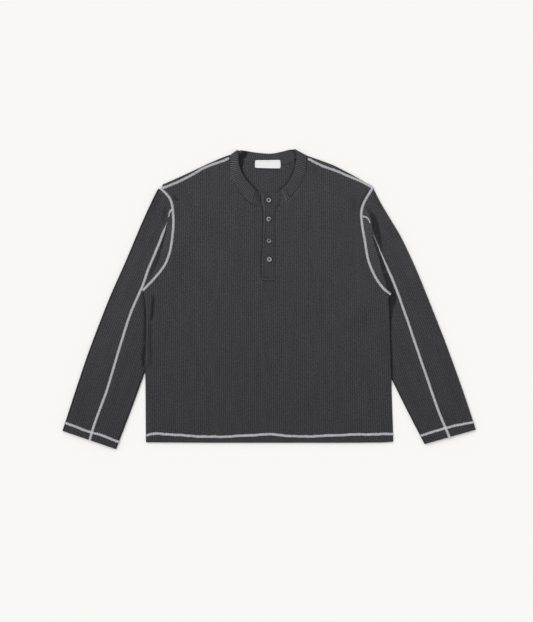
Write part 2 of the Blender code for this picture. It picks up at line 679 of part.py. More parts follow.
def sleeve(side, name):
    """One sleeve: a flattened tube, open at the cuff and at the armhole."""
    heights = sleeve_base(side)
    outer = curve(SLEEVE[side]["outer"], 20.0)

    def top(x, y):
        base, strength = heights(x, y)
        return base + RIB * strength * wave(2.0 * nearest(outer, x, y)[0] / RIB_PITCH)

    inward = -OUTWARD[side]
    lines = sleeve_lines(side, inward)
    ring = ring_of(*sleeve_ring(side))
    body = finish(name, slab(ring, top, lambda x, y: 0.0, lines), *KNIT)

    outer_run, inner_run, tuck_run, beside_run, seam_run = sleeve_ring(side)
    cut_ring = ring_of(
        offset(outer_run, inward * CUT_INSET)[1:],
        [tuple(Vector(outer_run[-1]).lerp(Vector(inner_run[0]), t) - Vector((0, CUT_PAST_CUFF)))
         for t in (0.02, 0.98)],
        offset(inner_run, inward * CUT_INSET),
        offset(tuck_run, inward * CUT_INSET)[1:],
        [(x - inward * CUT_INSET, y) for x, y in beside_run],
        offset(seam_run, -inward * CUT_PAST_ARMHOLE)[2:-2],
    )

    def ceiling(x, y):
        base, _ = heights(x, y)
        return max(CUT_FLOOR + CUT_LEAST, base - WALL - 0.1)

    spots = lattice((-520.0, 520.0), (-370.0, 300.0), CUT_LATTICE)
    cut_mesh = slab(cut_ring, ceiling, lambda x, y: CUT_FLOOR, (), spots)
    hollow = finish(name + "_hollow", cut_mesh, *KNIT)
    combine(body, hollow, "DIFFERENCE")
    weld(body)
    return body


# ================================================================ collar
def front_band(edge, seam, name):
    """Front half of the collar on one side, from the shoulder fold to the placket."""
    count = 2 * round(curve_length(seam) / (RIB_PITCH * COLLAR_FAN))
    inner = even(curve(edge), count)
    outer = even(curve(seam), count)

    def tops(k, t):
        along = k / count
        stand = COLLAR_FOLD_TOP + (COLLAR_EDGE_TOP - COLLAR_FOLD_TOP) * smooth(along / STAND_FROM)
        rise = COLLAR_SEAM_TOP + (stand - COLLAR_SEAM_TOP) * t
        edge_round = COLLAR_EDGE_ROUND if t in (0.0, 1.0) else 0.0
        rib = RIB * wave(k) if 0.0 < t < 1.0 else 0.0
        return rise - edge_round + rib

    def bottoms(k, t):
        if k == 0:
            return 0.0
        return max(COLLAR_LAYER, tops(k, t) - COLLAR_WALL)

    obj = finish(name, strip(inner, outer, tops, bottoms), *KNIT)
    point_outwards(obj)
    return obj


def collar_band():
    """One rib band round the neck: its front halves lie over its back, joined at the folds."""
    count = 2 * round(curve_length(COLLAR_EDGE_BACK) / RIB_PITCH)
    inner = even(curve(COLLAR_EDGE_BACK), count)
    outer = even(curve(COLLAR_SEAM_BACK), count)

    def tops(k, t):
        if t in (0.0, 1.0):
            return COLLAR_BACK_TOP - COLLAR_EDGE_ROUND
        ribbed = COLLAR_BACK_PLAIN < k < count - COLLAR_BACK_PLAIN
        return COLLAR_BACK_TOP + (RIB * wave(k) if ribbed else 0.0)

    back = finish("collar_band", strip(inner, outer, tops, lambda k, t: 0.0), *KNIT)
    point_outwards(back)
    left_seam = offset([COLLAR_FOLD_VIEWER_LEFT] + list(NECK_VIEWER_LEFT[1:]), COLLAR_GAP)
    right_seam = offset([COLLAR_FOLD_VIEWER_RIGHT] + list(NECK_VIEWER_RIGHT[1:]), -COLLAR_GAP)
    combine(back, front_band(COLLAR_EDGE_VIEWER_LEFT, left_seam, "collar_half_left"), "UNION")
    combine(back, front_band(COLLAR_EDGE_VIEWER_RIGHT, right_seam, "collar_half_right"), "UNION")
    return back


# ================================================================ placket, label, buttons
def placket_lift(y):
    """The strip's rise towards the collar."""
    return PLACKET_LIFT * smooth((y - PLACKET_LIFT_FROM) / (PLACKET_LIFT_TO - PLACKET_LIFT_FROM))


def placket_top():
    """Outer strip of the placket, whose free edge lies on the front panel."""
    ring = [(PLACKET_LEFT, PLACKET_FOOT), (PLACKET_RIGHT, PLACKET_FOOT)]
    ring += list(PLACKET_TOP_OUTLINE[::-1])
    base = RIB_TOP + GAP

    def top(x, y):
        edge = min(x - PLACKET_LEFT, PLACKET_RIGHT - x, y - PLACKET_FOOT)
        inside = y > PLACKET_LIFT_FROM - 4.0 or edge > EDGE_PLAIN
        return base + WALL + placket_lift(y) + (RIB * wave(rib_phase(x, y)) if inside else 0.0)

    def rows(x):
        return [BELOW_ALL, PLACKET_FOOT + 3.0, 130.0, *PLACKET_ROWS, ABOVE_ALL]

    lines = rib_lines(PLACKET_LEFT, PLACKET_TOP_OUTLINE[3][0], rows)
    spots = [(x, y) for x in (-10.0, 0.0, 10.0) for y in PLACKET_ROWS]
    mesh = slab(ring, top, lambda x, y: base + placket_lift(y), lines, (), spots)
    return finish("placket_top", mesh, *KNIT)


def placket_under():
    """Inner strip, in the slit and showing only at the upper corner of the opening."""
    left, right = PLACKET_LEFT + PLACKET_LAP + GAP, PLACKET_RIGHT - PLACKET_LAP - GAP
    foot = PLACKET_FOOT + PLACKET_LAP + GAP
    ring = [(left, foot), (right, foot), (right, 236.0), (right, 252.0)]
    ring += list(UNDER_CORNER) + [(left, SLIT_TOP + 4.0)]

    def top(x, y):
        return LAYER + WALL + UNDER_RISE * smooth((y - UNDER_RISE_FROM) / UNDER_RISE_LENGTH)

    mesh = slab(ring, top, lambda x, y: top(x, y) - WALL)
    return finish("placket_under", mesh, *KNIT)


def neck_label():
    """Bare woven label, caught in the back neck seam."""
    half_w, half_h = LABEL_SIZE[0] / 2, LABEL_SIZE[1] / 2
    x, y = LABEL_CENTRE
    ring = [(x - half_w, y - half_h), (x + half_w, y - half_h), (x + half_w, y + half_h),
            (x - half_w, y + half_h)]
    mesh = slab(ring, lambda u, v: LAYER + LABEL_WALL, lambda u, v: LAYER)
    return finish("neck_label", mesh, *LABEL_FINISH)


def turned(section, segments):
    """Lathe a half section that starts and ends off the axis, capped flat at both ends."""
    verts, faces = [], []
    for k in range(segments):
        angle = math.tau * k / segments
        verts += [(r * math.cos(angle), r * math.sin(angle), z) for r, z in section]
    n = len(section)
    for k in range(segments):
        now, then = k * n, ((k + 1) % segments) * n
        for i in range(n - 1):
            faces.append((now + i, now + i + 1, then + i + 1, then + i))
    faces.append([k * n for k in range(segments)])
    faces.append([k * n + n - 1 for k in reversed(range(segments))])
    return verts, faces


def button(number, centre):
    """Dished button with four holes, just clear of the strip under it."""
    x, y = centre
    highest = RIB_TOP + GAP + WALL + RIB + placket_lift(y + BUTTON_RADIUS)
    obj = finish(f"button_{number}", turned(BUTTON_SECTION, BUTTON_SEGMENTS), *BUTTON_FINISH)
    point_outwards(obj)
    obj.location = (x * MM, y * MM, (highest + GAP) * MM)
    for corner in range(4):
        angle = math.tau * (corner + 0.5) / 4
        drill = turned(BORE_SECTION, BORE_SEGMENTS)
        bore = finish(f"button_{number}_bore_{corner + 1}", drill, *BUTTON_FINISH)
        point_outwards(bore)
        aside = Vector((math.cos(angle), math.sin(angle), 0.0)) * BUTTON_HOLE_SPREAD * MM
        bore.location = obj.location + aside
        combine(obj, bore, "DIFFERENCE")
    obj.data.shade_smooth()
    obj.data.set_sharp_from_angle(angle=math.radians(40))
    return obj


def main():
    """Build the shirt."""
    for old in list(bpy.data.objects):
        bpy.data.objects.remove(old)
    body_back()
    body_front()
    sleeve("viewer_left", "sleeve_right")
    sleeve("viewer_right", "sleeve_left")
    collar_band()
    placket_under()
    placket_top()
    neck_label()
    for number, centre in enumerate(BUTTON_CENTRES, 1):
        button(number, centre)


main()
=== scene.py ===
"""Looks of a long-sleeved henley shirt in ribbed knit, laid flat on its back on a pale table.

Plan tables and plan sums are in millimetres, as a pattern maker keeps them. Meshes are in metres, in the
frame's axes: x to the viewer's right, y from the hem to the collar, z up from the table. Left and right
are the wearer's, so the right sleeve lies on the viewer's left.
"""

import logging
import math
from collections.abc import Callable, Sequence
from dataclasses import dataclass, field
from enum import Enum
from functools import cache

import bmesh
import bpy
import numpy as np
from bpy.types import Material, Mesh, NodeSocket, NodeTree, Object
from mathutils import Euler, Matrix, Vector
from mathutils.bvhtree import BVHTree
from mathutils.geometry import delaunay_2d_cdt


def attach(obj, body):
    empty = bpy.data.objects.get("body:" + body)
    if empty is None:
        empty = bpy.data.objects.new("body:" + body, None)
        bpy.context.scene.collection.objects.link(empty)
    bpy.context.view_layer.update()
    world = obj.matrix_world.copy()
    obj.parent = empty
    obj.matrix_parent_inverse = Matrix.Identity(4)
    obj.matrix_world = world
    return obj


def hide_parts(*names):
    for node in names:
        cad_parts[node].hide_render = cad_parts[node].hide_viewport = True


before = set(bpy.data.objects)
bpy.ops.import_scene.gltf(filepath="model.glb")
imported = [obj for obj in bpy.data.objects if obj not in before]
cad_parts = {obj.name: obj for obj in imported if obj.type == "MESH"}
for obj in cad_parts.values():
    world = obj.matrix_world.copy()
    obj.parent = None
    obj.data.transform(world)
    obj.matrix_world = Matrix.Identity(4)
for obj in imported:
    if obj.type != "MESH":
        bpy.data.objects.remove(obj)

Values = np.ndarray                      # one value for each point
Plan = np.ndarray                        # plan points, one row each, in millimetres
Field = Callable[[Plan], Values]
Row = tuple[float, float]
Faces = list[tuple[int, ...]]
Solid = tuple[np.ndarray, Faces]         # x, y, z rows in millimetres, and faces

log = logging.getLogger("henley")
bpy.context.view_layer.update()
MM = 0.001


class Side(Enum):
    """A side of the shirt; its value is the way out of the body along x."""

    RIGHT = -1.0
    LEFT = 1.0


RIGHT, LEFT = Side
Sides = dict[Side, Sequence[Row]]

# ------------------------------------------------------------------ knit and layers, in millimetres
WALL = 1.5              # one layer of knit
GAP = 0.3               # clearance between pieces
LAYER = WALL + GAP
BODY_TOP = 2 * WALL + GAP
RIB_PITCH = 5.0
RIB_HEIGHT = 0.85
LINES_PER_RIB = 4       # mesh lines for each rib
HEM_DEPTH = 20.5        # turned-up hem and cuffs
HEM_RISE = 0.7
MERGE = 0.05            # points this close are one
HIGH_UP = 100.0         # above every piece

# ------------------------------------------------------------------ body, x and y of each point
SIDE_ROWS: Sides = {
    RIGHT: ((-302.3, 21.4), (-299.4, 12.5), (-296.6, 3), (-293.2, -36.5), (-295.8, -174.2), (-294.6, -341)),
    LEFT: ((289.6, 12.5), (284.6, 3), (287.2, -36.5), (291.2, -174.2), (296.8, -341)),
}
HEM = ((-294.6, -343.9), (-150, -344.1), (0, -344.1), (180, -344.1), (272.8, -343.5), (296.8, -341.1))
HEM_Y = HEM[2][1]
ARMHOLE: Sides = {
    RIGHT: ((-259.6, 264.8), (-242.3, 247.4), (-232.7, 226.6), (-229.6, 184.6), (-234.8, 131),
        (-250.9, 81.1), (-276.4, 48.5), (-302.3, 21.4)),
    LEFT: ((247.4, 266.9), (230.5, 237.1), (221.4, 198), (226, 158.2), (237.2, 96.2), (252.8, 56.6),
        (272.3, 28.1), (289.6, 12.5)),
}
SHOULDER: Sides = {
    RIGHT: ((-95.6, 339.1), (-121.6, 329.3), (-163.1, 311.7), (-184, 299.5), (-212, 284.5),
        (-259.6, 264.8)),
    LEFT: ((91.8, 336.7), (124.9, 320.9), (159.2, 308.8), (180.8, 299.4), (200, 291.6), (219.2, 283.2),
        (247.4, 266.9)),
}
SHOULDER_FOLD: Sides = {
    RIGHT: ((-95.4, 346.2), (-121.6, 336), (-163.1, 317.4), (-184, 307.4), (-212, 294.4), (-254.8, 275.5)),
    LEFT: ((92.4, 344), (149.4, 323.3), (180.8, 308), (200, 298), (219.2, 287.3), (244.6, 272.6)),
}
NECK: Sides = {
    RIGHT: ((-95.6, 339.1), (-92.5, 304.1), (-80, 271.9), (-64, 248.9), (-43.3, 229.4), (-19, 220.8)),
    LEFT: ((91.8, 336.7), (87.7, 306.2), (76.2, 275.6), (66.6, 261), (58, 249.2), (46.2, 237.4),
        (37.6, 230.9), (24.6, 226.1)),
}
RIB_START_X, RIB_END_X = -294.5, 290.0
BODY_RIBS = 117
LEAN_WIDTH = 120.0      # ribs this close to a side edge follow its line
BACK_INSET = 0.9
SIDE_WRAP = 1.2         # the front wraps this far round the back's side edge

# ------------------------------------------------------------------ sleeves, x and y of each point
OUTER: Sides = {
    RIGHT: ((-267, 264.2), (-283, 232), (-309, 174.5), (-345.5, 88.1), (-384, 1), (-428.4, -113.5),
        (-458.2, -199.9), (-495.85, -315.4)),
    LEFT: ((248.8, 268.5), (267.2, 232.1), (292.9, 188.9), (318.2, 145.7), (351.9, 73.7), (381.5, 1.7),
        (426.7, -113.5), (468.1, -228.7), (495.85, -312.5)),
}
INNER: Sides = {
    RIGHT: ((-367.1, -359.5), (-332, -268), (-295.7, -168.7)),
    LEFT: ((372.6, -347.3), (331.6, -268), (291.4, -187)),
}
TUCK: Sides = {
    RIGHT: ((-295.7, -168.7), (-278.4, -121.9), (-272.6, -73.9), (-280.2, -30.7), (-297, 0)),
    LEFT: ((291.4, -187), (268, -133.9), (261.2, -85.9), (266.4, -37.9), (284.4, 0)),
}
CREASE: Sides = {
    RIGHT: ((-241.6, 180.5), (-251.5, 148), (-257.4, 124.6), (-264.8, 98.6), (-272.5, 79.5), (-292, 44)),
    LEFT: ((236.8, 215.8), (247.5, 186), (251.5, 153), (257.5, 114), (269.5, 84), (282.4, 54.7),
        (290.5, 31.9), (296, 4.3)),
}
STRIP_ANGLE = {RIGHT: 211.0, LEFT: -18.0}   # way of the ribs beside the armhole
LONG_SEAM: Sides = {
    RIGHT: ((-244.2, 185.3), (-253.3, 161.5), (-261, 140.2), (-274.7, 107.3), (-290.5, 69.4),
        (-305.6, 26.9), (-333, -36.5), (-363.5, -133), (-388.2, -215.8), (-416.3, -292.3),
        (-429.7, -336.5)),
    LEFT: ((250, 153.6), (268.6, 109.9), (284.5, 72.2), (301.2, 33.6), (333, -55), (359.2, -133.4),
        (382.4, -200.4), (405.7, -267.4), (431.9, -330.7)),
}
SEAM_RAMP = {RIGHT: 30.0, LEFT: 115.0}      # length over which that seam widens
SEAM_HOOK: Sides = {
    RIGHT: ((-231.5, 214.5), (-235.5, 213.5), (-238.7, 207.4), (-240.4, 199)),
    LEFT: ((224.5, 198.7), (232.9, 196.6), (238.2, 192), (241.3, 184.3)),
}
CUFF_SEAM: Sides = {
    RIGHT: ((-488, -297.1), (-431.6, -317.3), (-399.2, -326.9), (-361.8, -341.6)),
    LEFT: ((364, -327.6), (421.1, -309.1), (488.6, -294.2)),
}
HEM_SEAM = ((-293.9, -327.1), (-263.6, -322.6), (-134.8, -330), (-3.5, -324.2), (68, -329), (187.6, -325.2),
    (294.8, -323))
SHOULDER_SEAM: Sides = {
    RIGHT: ((-96.5, 338.6), (-108, 332.4), (-121.6, 328), (-140, 321), (-163.1, 311.3), (-184, 298.7),
        (-212, 284.1), (-257.4, 265.7)),
    LEFT: ((93.5, 336.6), (124.9, 320.9), (159.2, 308.6), (180.8, 299), (200, 291.4), (219.2, 283.1),
        (245.5, 268.5)),
}
ARM_SEAM: Sides = {
    RIGHT: ((-262, 267), (-242.3, 247.4), (-232.7, 226.6), (-229.6, 184.6), (-232, 150), (-238.4, 113.3),
        (-250.9, 81.1), (-276.4, 48.5), (-302.3, 21.4)),
    LEFT: ((249, 268.3), (230.5, 237.1), (221.6, 211.9), (222.6, 181.2), (229.1, 142.1), (237.2, 96.2),
        (252.8, 56.6), (272.3, 28.1), (289.6, 12.5)),
}
SLEEVE_FLAT = BODY_TOP + 0.1
SLEEVE_CREST = 5.2
TUCK_LIFT = SLEEVE_FLAT + 0.7
TUCK_SPREAD = 34.0
FRONT_LIFT = 1.04

# ------------------------------------------------------------------ collar, placket, label, buttons
COLLAR_EDGE: Sides = {
    RIGHT: ((-76.4, 358.1), (-74, 346), (-72.4, 325.7), (-68.2, 310.1), (-59.5, 293.3), (-50.8, 281.3),
        (-36.6, 265.7), (-22.8, 251)),
    LEFT: ((61.3, 359.5), (65.2, 350), (65.4, 337.4), (62.3, 317.8), (58, 302.9), (48.8, 284.9),
        (41.4, 274.3), (34, 266.9), (29.6, 264.2)),
}
COLLAR_EDGE_BACK = ((-76.4, 358.6), (-52, 355.2), (-35, 352.2), (-4.2, 349.3), (12, 350.1), (28.4, 353.4),
    (46, 357.9), (61.3, 361.2))
COLLAR_SEAM_BACK = ((-94.6, 345.6), (-70, 336.4), (-5.2, 334), (62, 336.4), (91.2, 344.4))
COLLAR_FOLD = {RIGHT: COLLAR_SEAM_BACK[0], LEFT: COLLAR_SEAM_BACK[-1]}
# share of the seam's length, and of the edge's, that one rib joins
COLLAR_PAIRS: Sides = {
    RIGHT: ((0, 0), (0.098, 0.229), (0.311, 0.433), (0.525, 0.60), (0.705, 0.806), (0.86, 0.90), (1, 1)),
    LEFT: ((0, 0), (0.15, 0.32), (0.391, 0.542), (0.586, 0.731), (0.707, 0.851), (0.843, 0.985), (1, 1)),
}
PLACKET_LOW_X, PLACKET_HIGH_X, PLACKET_FOOT = -17.0, 14.0, 46.0
PLACKET_TOP_END = ((-16.7, 248.7), (6.1, 253), (20.3, 254.4), (29.9, 263.4), (23.8, 226.3), (14, 221.3))
SLIT_TOP, SLIT_LAP = 219.0, 5.0
UNDER_CORNER = ((-8, 249.6), (-17, 248.8), (-21.9, 250.8), (-20, 236), (-18, 224))
BUTTON_CENTRES = ((-1, 237.1), (-0.6, 192), (-0.6, 139.9), (0.6, 95))
PLACKET_EDGE = ((-17, 47.8), (-17.7, 64), (-17.4, 86), (-15.6, 130), (-13.8, 171), (-13.4, 200),
    (-13.8, 222), (-15.2, 236), (-16.7, 248.7))
# beside the collar: a low ridge and a seam's glint, both with painted light along them
NECK_RIDGE = ((-97.5, 326.9), (-94.5, 303), (-87.5, 282), (-76.4, 262.8))
SEAM_PAINTED_GLINT = ((77.6, 275), (67.9, 260.4), (59.2, 248.4), (47.2, 236.4), (38.2, 229.8), (26, 225))
LABEL_OUTLINE = ((-31, 333.4), (0, 333.6), (24.4, 334), (26.4, 332.4), (27.2, 329), (27.4, 317),
    (26.6, 314.4), (24, 313.7), (0, 314), (-31.6, 315.1), (-33.8, 316.2), (-34, 319), (-33.6, 329.6),
    (-33, 332.4))


# ================================================================== plan maths
def smooth(t: Values) -> Values:
    """Rise from 0 to 1 with no slope at either end."""
    t = np.clip(t, 0.0, 1.0)
    return t * t * (3.0 - 2.0 * t)


def round_over(t: Values) -> Values:
    """Quarter-round rise from 0 at the edge to 1."""
    return np.sqrt(1.0 - (1.0 - np.clip(t, 0.0, 1.0)) ** 2)


def spline(rows: Sequence[Row], step: float = 6.0) -> Plan:
    """Sample a smooth curve through the rows.

    Args:
        rows: the curve's own points.
        step: wanted distance between samples.

    Returns:
        The samples, both ends among them.
    """
    knots = np.array(rows, float)
    knots = np.vstack([2 * knots[0] - knots[1], knots, 2 * knots[-1] - knots[-2]])
    out = []
    for a, b, c, d in zip(knots, knots[1:], knots[2:], knots[3:]):
        count = max(1, round(math.dist(b, c) / step))
        t = (np.arange(count) / count)[:, None]
        out.append(0.5 * (2 * b + (c - a) * t + (2 * a - 5 * b + 4 * c - d) * t ** 2
                          + (3 * b - a - 3 * c + d) * t ** 3))
    return np.vstack([*out, knots[-2]])


def reach_of(line: Plan) -> Values:
    """Length of a line up to each of its points."""
    return np.concatenate([[0.0], np.cumsum(np.linalg.norm(np.diff(line, axis=0), axis=1))])


def line_length(line: Plan) -> float:
    """Length of a line."""
    return float(reach_of(line)[-1])


def places_on(line: Plan, along: Values) -> Plan:
    """The points of a line at given lengths along it."""
    return np.column_stack([np.interp(along, reach_of(line), column) for column in line.T])


def even(line: Plan, count: int) -> Plan:
    """The points that part a line into count equal stretches, both ends among them."""
    return places_on(line, np.linspace(0.0, line_length(line), count + 1))


def closed(ring: Plan) -> Plan:
    """A ring with its first point again at its end."""
    return np.vstack([ring, ring[:1]])


def left_of(line: Plan, is_ring: bool = False) -> Plan:
    """Unit steps square to a line, to the left of its direction.

    Args:
        line: the line.
        is_ring: True where its last point meets its first.

    Returns:
        One step for each point.
    """
    along = np.roll(line, -1, axis=0) - np.roll(line, 1, axis=0) if is_ring else np.gradient(line, axis=0)
    along /= np.linalg.norm(along, axis=1)[:, None]
    return np.column_stack([-along[:, 1], along[:, 0]])


def offset(line: Plan, distance: float, is_ring: bool = False) -> Plan:
    """Move a line or a ring sideways, to the left of its direction for a positive distance."""
    return line + distance * left_of(line, is_ring)


def area_of(ring: Plan) -> float:
    """Area within a ring, positive where it runs counter-clockwise."""
    after = np.roll(ring, -1, axis=0)
    return 0.5 * float((ring[:, 0] * after[:, 1] - after[:, 0] * ring[:, 1]).sum())


@dataclass(frozen=True)
class Nearness:
    """How plan points lie to a line, one value for each point."""

    distance: Values
    side: Values            # 1 to the left of the line's direction, -1 to its right
    along: Values           # length of the line up to the nearest place

    def inward(self, side: Side) -> Values:
        """Distance towards the middle of the shirt or sleeve, below 0 outside the line."""
        return self.distance * np.where(self.side == side.value, -1.0, 1.0)


class Line:
    """A plan line that answers how points lie to it."""

    def __init__(self, rows: Sequence[Row] | Plan, step: float = 6.0) -> None:
        """Keep a smooth line through rows, or the points of a ready line as they are."""
        self.points = rows if isinstance(rows, np.ndarray) else spline(rows, step)
        self.length = line_length(self.points)

    def measure(self, at: Plan) -> Nearness:
        """How far points are from the line, on which side and how far along.

        Args:
            at: the points.

        Returns:
            Their nearness.
        """
        best, side, along = np.full(len(at), np.inf), np.ones(len(at)), np.zeros(len(at))
        reach = 0.0
        for a, b in zip(self.points, self.points[1:]):
            way, away = b - a, at - a
            length = math.hypot(*way)
            t = np.clip(away @ way / length ** 2, 0.0, 1.0)
            distance = np.hypot(away[:, 0] - t * way[0], away[:, 1] - t * way[1])
            closer = distance < best - 1e-9
            turn = np.where(way[0] * away[:, 1] - way[1] * away[:, 0] >= 0.0, 1.0, -1.0)
            best = np.where(closer, distance, best)
            side = np.where(closer, turn, side)
            along = np.where(closer, reach + t * length, along)
            reach += length
        return Nearness(best, side, along)

    def distance(self, at: Plan) -> Values:
        """Distance of each point."""
        return self.measure(at).distance


@dataclass(frozen=True)
class Fold:
    """One soft ridge, or a trough where its height is negative, which can carry painted shade or painted
    light.
    """

    path: Sequence[Row]
    height: float           # at the middle of its path
    left: float             # half width to the left of the path's direction
    right: float            # half width to the right
    fade: float = 30.0      # length over which each end dies away
    dark: float = 0.0       # painted shade at its middle; below 0, painted light on a ridge
    line: Line = field(init=False)

    def __post_init__(self) -> None:
        """Make the measuring line once."""
        object.__setattr__(self, "line", Line(self.path, 10.0))

    def share(self, at: Plan) -> Values:
        """How much of the fold is at each point, from 0 to 1.

        Args:
            at: the points.

        Returns:
            Its share.
        """
        near = self.line.measure(at)
        width = np.where(near.side > 0.0, self.left, self.right)
        ends = smooth(near.along / self.fade) * smooth((self.line.length - near.along) / self.fade)
        return ends * np.exp(-(near.distance / width) ** 2)

    def fine_lines(self) -> list[Plan]:
        """Mesh lines along the fold, so that the cloth can follow it."""
        away = (-1.4 * self.right, -0.6 * self.right, 0.0, 0.6 * self.left, 1.4 * self.left)
        return [offset(spline(self.path, 5.0), distance) for distance in away]


@dataclass(frozen=True)
class Hollow(Fold):
    """A sunk patch, or a flat patch of painted shade where its height is 0; its path is its outline, and
    left is the width of its soft border.
    """

    def share(self, at: Plan) -> Values:
        """How much of the patch is at each point, from 0 to 1.

        Args:
            at: the points.

        Returns:
            Its share.
        """
        ring = closed(np.array(self.path, float))
        inside = np.zeros(len(at), bool)
        for (ax, ay), (bx, by) in zip(ring, ring[1:]):
            if ay != by:
                crosses = (ay > at[:, 1]) != (by > at[:, 1])
                inside ^= crosses & (at[:, 0] < ax + (at[:, 1] - ay) * (bx - ax) / (by - ay))
        distance = Line(ring).distance(at)
        return smooth(0.5 + np.where(inside, distance, -distance) / self.left)

    def fine_lines(self) -> list[Plan]:
        """Mesh lines on both sides of the outline."""
        return [offset(np.array(self.path, float), side * self.left, True) for side in (-0.5, 0.5)]


def fine_lines(folds: Sequence[Fold], finest: float = 6.0) -> list[Plan]:
    """Mesh lines along the folds that are narrower than finest."""
    return [line for fold in folds if fold.left < finest for line in fold.fine_lines()]


def rise_of(folds: Sequence[Fold], at: Plan) -> Values:
    """Height that several folds add at each point."""
    return sum((fold.height * fold.share(at) for fold in folds), np.zeros(len(at)))


def painted_shade_of(folds: Sequence[Fold], at: Plan) -> Values:
    """How much painted shade several folds put on each point; below 0, painted light."""
    return np.clip(sum((fold.dark * fold.share(at) for fold in folds), np.zeros(len(at))), -0.6, 1.0)


# ================================================================== objects and node trees
def add_object(name: str, data: bpy.types.ID) -> Object:
    """Make an object of a mesh, a lamp or a camera, in the scene.

    Args:
        name: the object's name.
        data: what it shows.

    Returns:
        The object.
    """
    made = bpy.data.objects.new(name, data)
    bpy.context.scene.collection.objects.link(made)
    return made


def plain_object(name: str, points: np.ndarray, faces: Faces, *finishes: Material) -> Object:
    """Make an object of points in millimetres, its faces pointing out.

    Args:
        name: the object's name.
        points: x, y, z rows.
        faces: point numbers.
        finishes: its material, where it has one of its own.

    Returns:
        The object.
    """
    mesh = bpy.data.meshes.new(name)
    mesh.from_pydata((points * MM).tolist(), [], faces)
    work = bmesh.new()
    work.from_mesh(mesh)
    bmesh.ops.recalc_face_normals(work, faces=work.faces)
    work.to_mesh(mesh)
    work.free()
    mesh.shade_smooth()
    for finish in finishes:
        mesh.materials.append(finish)
    return add_object(name, mesh)


def store(mesh: Mesh, label: str, values: np.ndarray) -> None:
    """Store a number, or a vector, for each point of a mesh."""
    kind, part = ("FLOAT", "value") if values.ndim == 1 else ("FLOAT_VECTOR", "vector")
    mesh.attributes.new(label, kind, "POINT").data.foreach_set(part, values.astype(np.float32).ravel())


class Book:
    """Writes a node tree, shader or geometry, one call for each node."""

    def __init__(self, tree: NodeTree) -> None:
        """Keep the tree that nodes are added to."""
        self.tree = tree

    def node(self, kind: str, settings: dict | None = None, out: int | str = 0,
             **values: object) -> "Value":
        """Add a node.

        Args:
            kind: the node's type.
            settings: the node's own properties, set before its sockets.
            out: the output that is read.
            values: a value or a Value for each input, by name with _ for a space or as iN for
                its number.

        Returns:
            The output.
        """
        made = self.tree.nodes.new(kind)
        for name, value in (settings or {}).items():
            setattr(made, name, value)
        for name, value in values.items():
            is_number = name[0] == "i" and name[1:].isdigit()
            self.feed(made.inputs[int(name[1:]) if is_number else name.replace("_", " ")], value)
        return Value(self, made.outputs[out])

    def feed(self, socket: NodeSocket, value: object) -> None:
        """Link a Value to an input, or set a plain value on it.

        Args:
            socket: the input.
            value: what it gets.
        """
        if isinstance(value, Value):
            self.tree.links.new(value.socket, socket)
        else:
            socket.default_value = value

    def mix(self, share: object, low: object, high: object) -> "Value":
        """Mix two colours by the share of the second."""
        return self.node("ShaderNodeMix", {"data_type": "RGBA"}, 2, i0=share, i6=low, i7=high)


class Value:
    """An output's socket that takes part in sums."""

    def __init__(self, book: Book, socket: NodeSocket) -> None:
        """Wrap one socket."""
        self.book, self.socket = book, socket

    def beside(self, out: int | str) -> "Value":
        """Another output of the same node."""
        return Value(self.book, self.socket.node.outputs[out])

    def math(self, operation: str, *terms: object) -> "Value":
        """Add a Math node of this operation on the terms, or on this value and one term.

        Args:
            operation: the node's operation.
            terms: what comes after this value.

        Returns:
            The result.
        """
        terms = terms if len(terms) > 1 else (self, *terms)
        return self.book.node("ShaderNodeMath", {"operation": operation},
                              **{f"i{n}": term for n, term in enumerate(terms)})

    def __add__(self, other: object) -> "Value":
        """Sum."""
        return self.math("ADD", other)

    __radd__ = __add__

    def __sub__(self, other: object) -> "Value":
        """Difference."""
        return self.math("SUBTRACT", other)

    def __rsub__(self, other: object) -> "Value":
        """Difference the other way round."""
        return self.math("SUBTRACT", other, self)

    def __mul__(self, other: object) -> "Value":
        """Product."""
        return self.math("MULTIPLY", other)

    __rmul__ = __mul__

    def __pow__(self, other: object) -> "Value":
        """Power."""
        return self.math("POWER", other)

    def __abs__(self) -> "Value":
        """Size without its sign."""
        return self.math("ABSOLUTE")

    def __lt__(self, other: object) -> "Value":
        """1 where it is less, or else 0."""
        return self.math("LESS_THAN", other)

    def tent(self) -> "Value":
        """0 at whole numbers, 1 half way between them."""
        return 1.0 - abs(self.math("FRACT") * 2.0 - 1.0)


def geometry_tree(name: str, inputs: dict[str, tuple[str, object]]) -> tuple[Book, dict[str, Value]]:
    """Start a geometry node tree.

    Args:
        name: the tree's name.
        inputs: for each named input, its socket type and its default, or None.

    Returns:
        The tree's book, and its inputs by name with Geometry among them.
    """
    tree = bpy.data.node_groups.new(name, "GeometryNodeTree")
    for way in ("INPUT", "OUTPUT"):
        tree.interface.new_socket("Geometry", in_out=way, socket_type="NodeSocketGeometry")
    for label, (kind, default) in inputs.items():
        socket = tree.interface.new_socket(label, in_out="INPUT", socket_type="NodeSocket" + kind)
        if default is not None:
            socket.default_value = default
    book = Book(tree)
    sockets = tree.nodes.new("NodeGroupInput").outputs
    return book, {socket.name: Value(book, socket) for socket in sockets if socket.name}


def end_tree(geometry: Value, finish: Value) -> NodeTree:
    """Close a geometry node tree: make its instances real and give them their finish.

    Args:
        geometry: the tree's last geometry.
        finish: the material.

    Returns:
        The tree.
    """
    book = geometry.book
    solid = book.node("GeometryNodeRealizeInstances", Geometry=geometry)
    dressed = book.node("GeometryNodeSetMaterial", Geometry=solid, Material=finish)
    book.tree.links.new(dressed.socket, book.tree.nodes.new("NodeGroupOutput").inputs[0])
    return book.tree


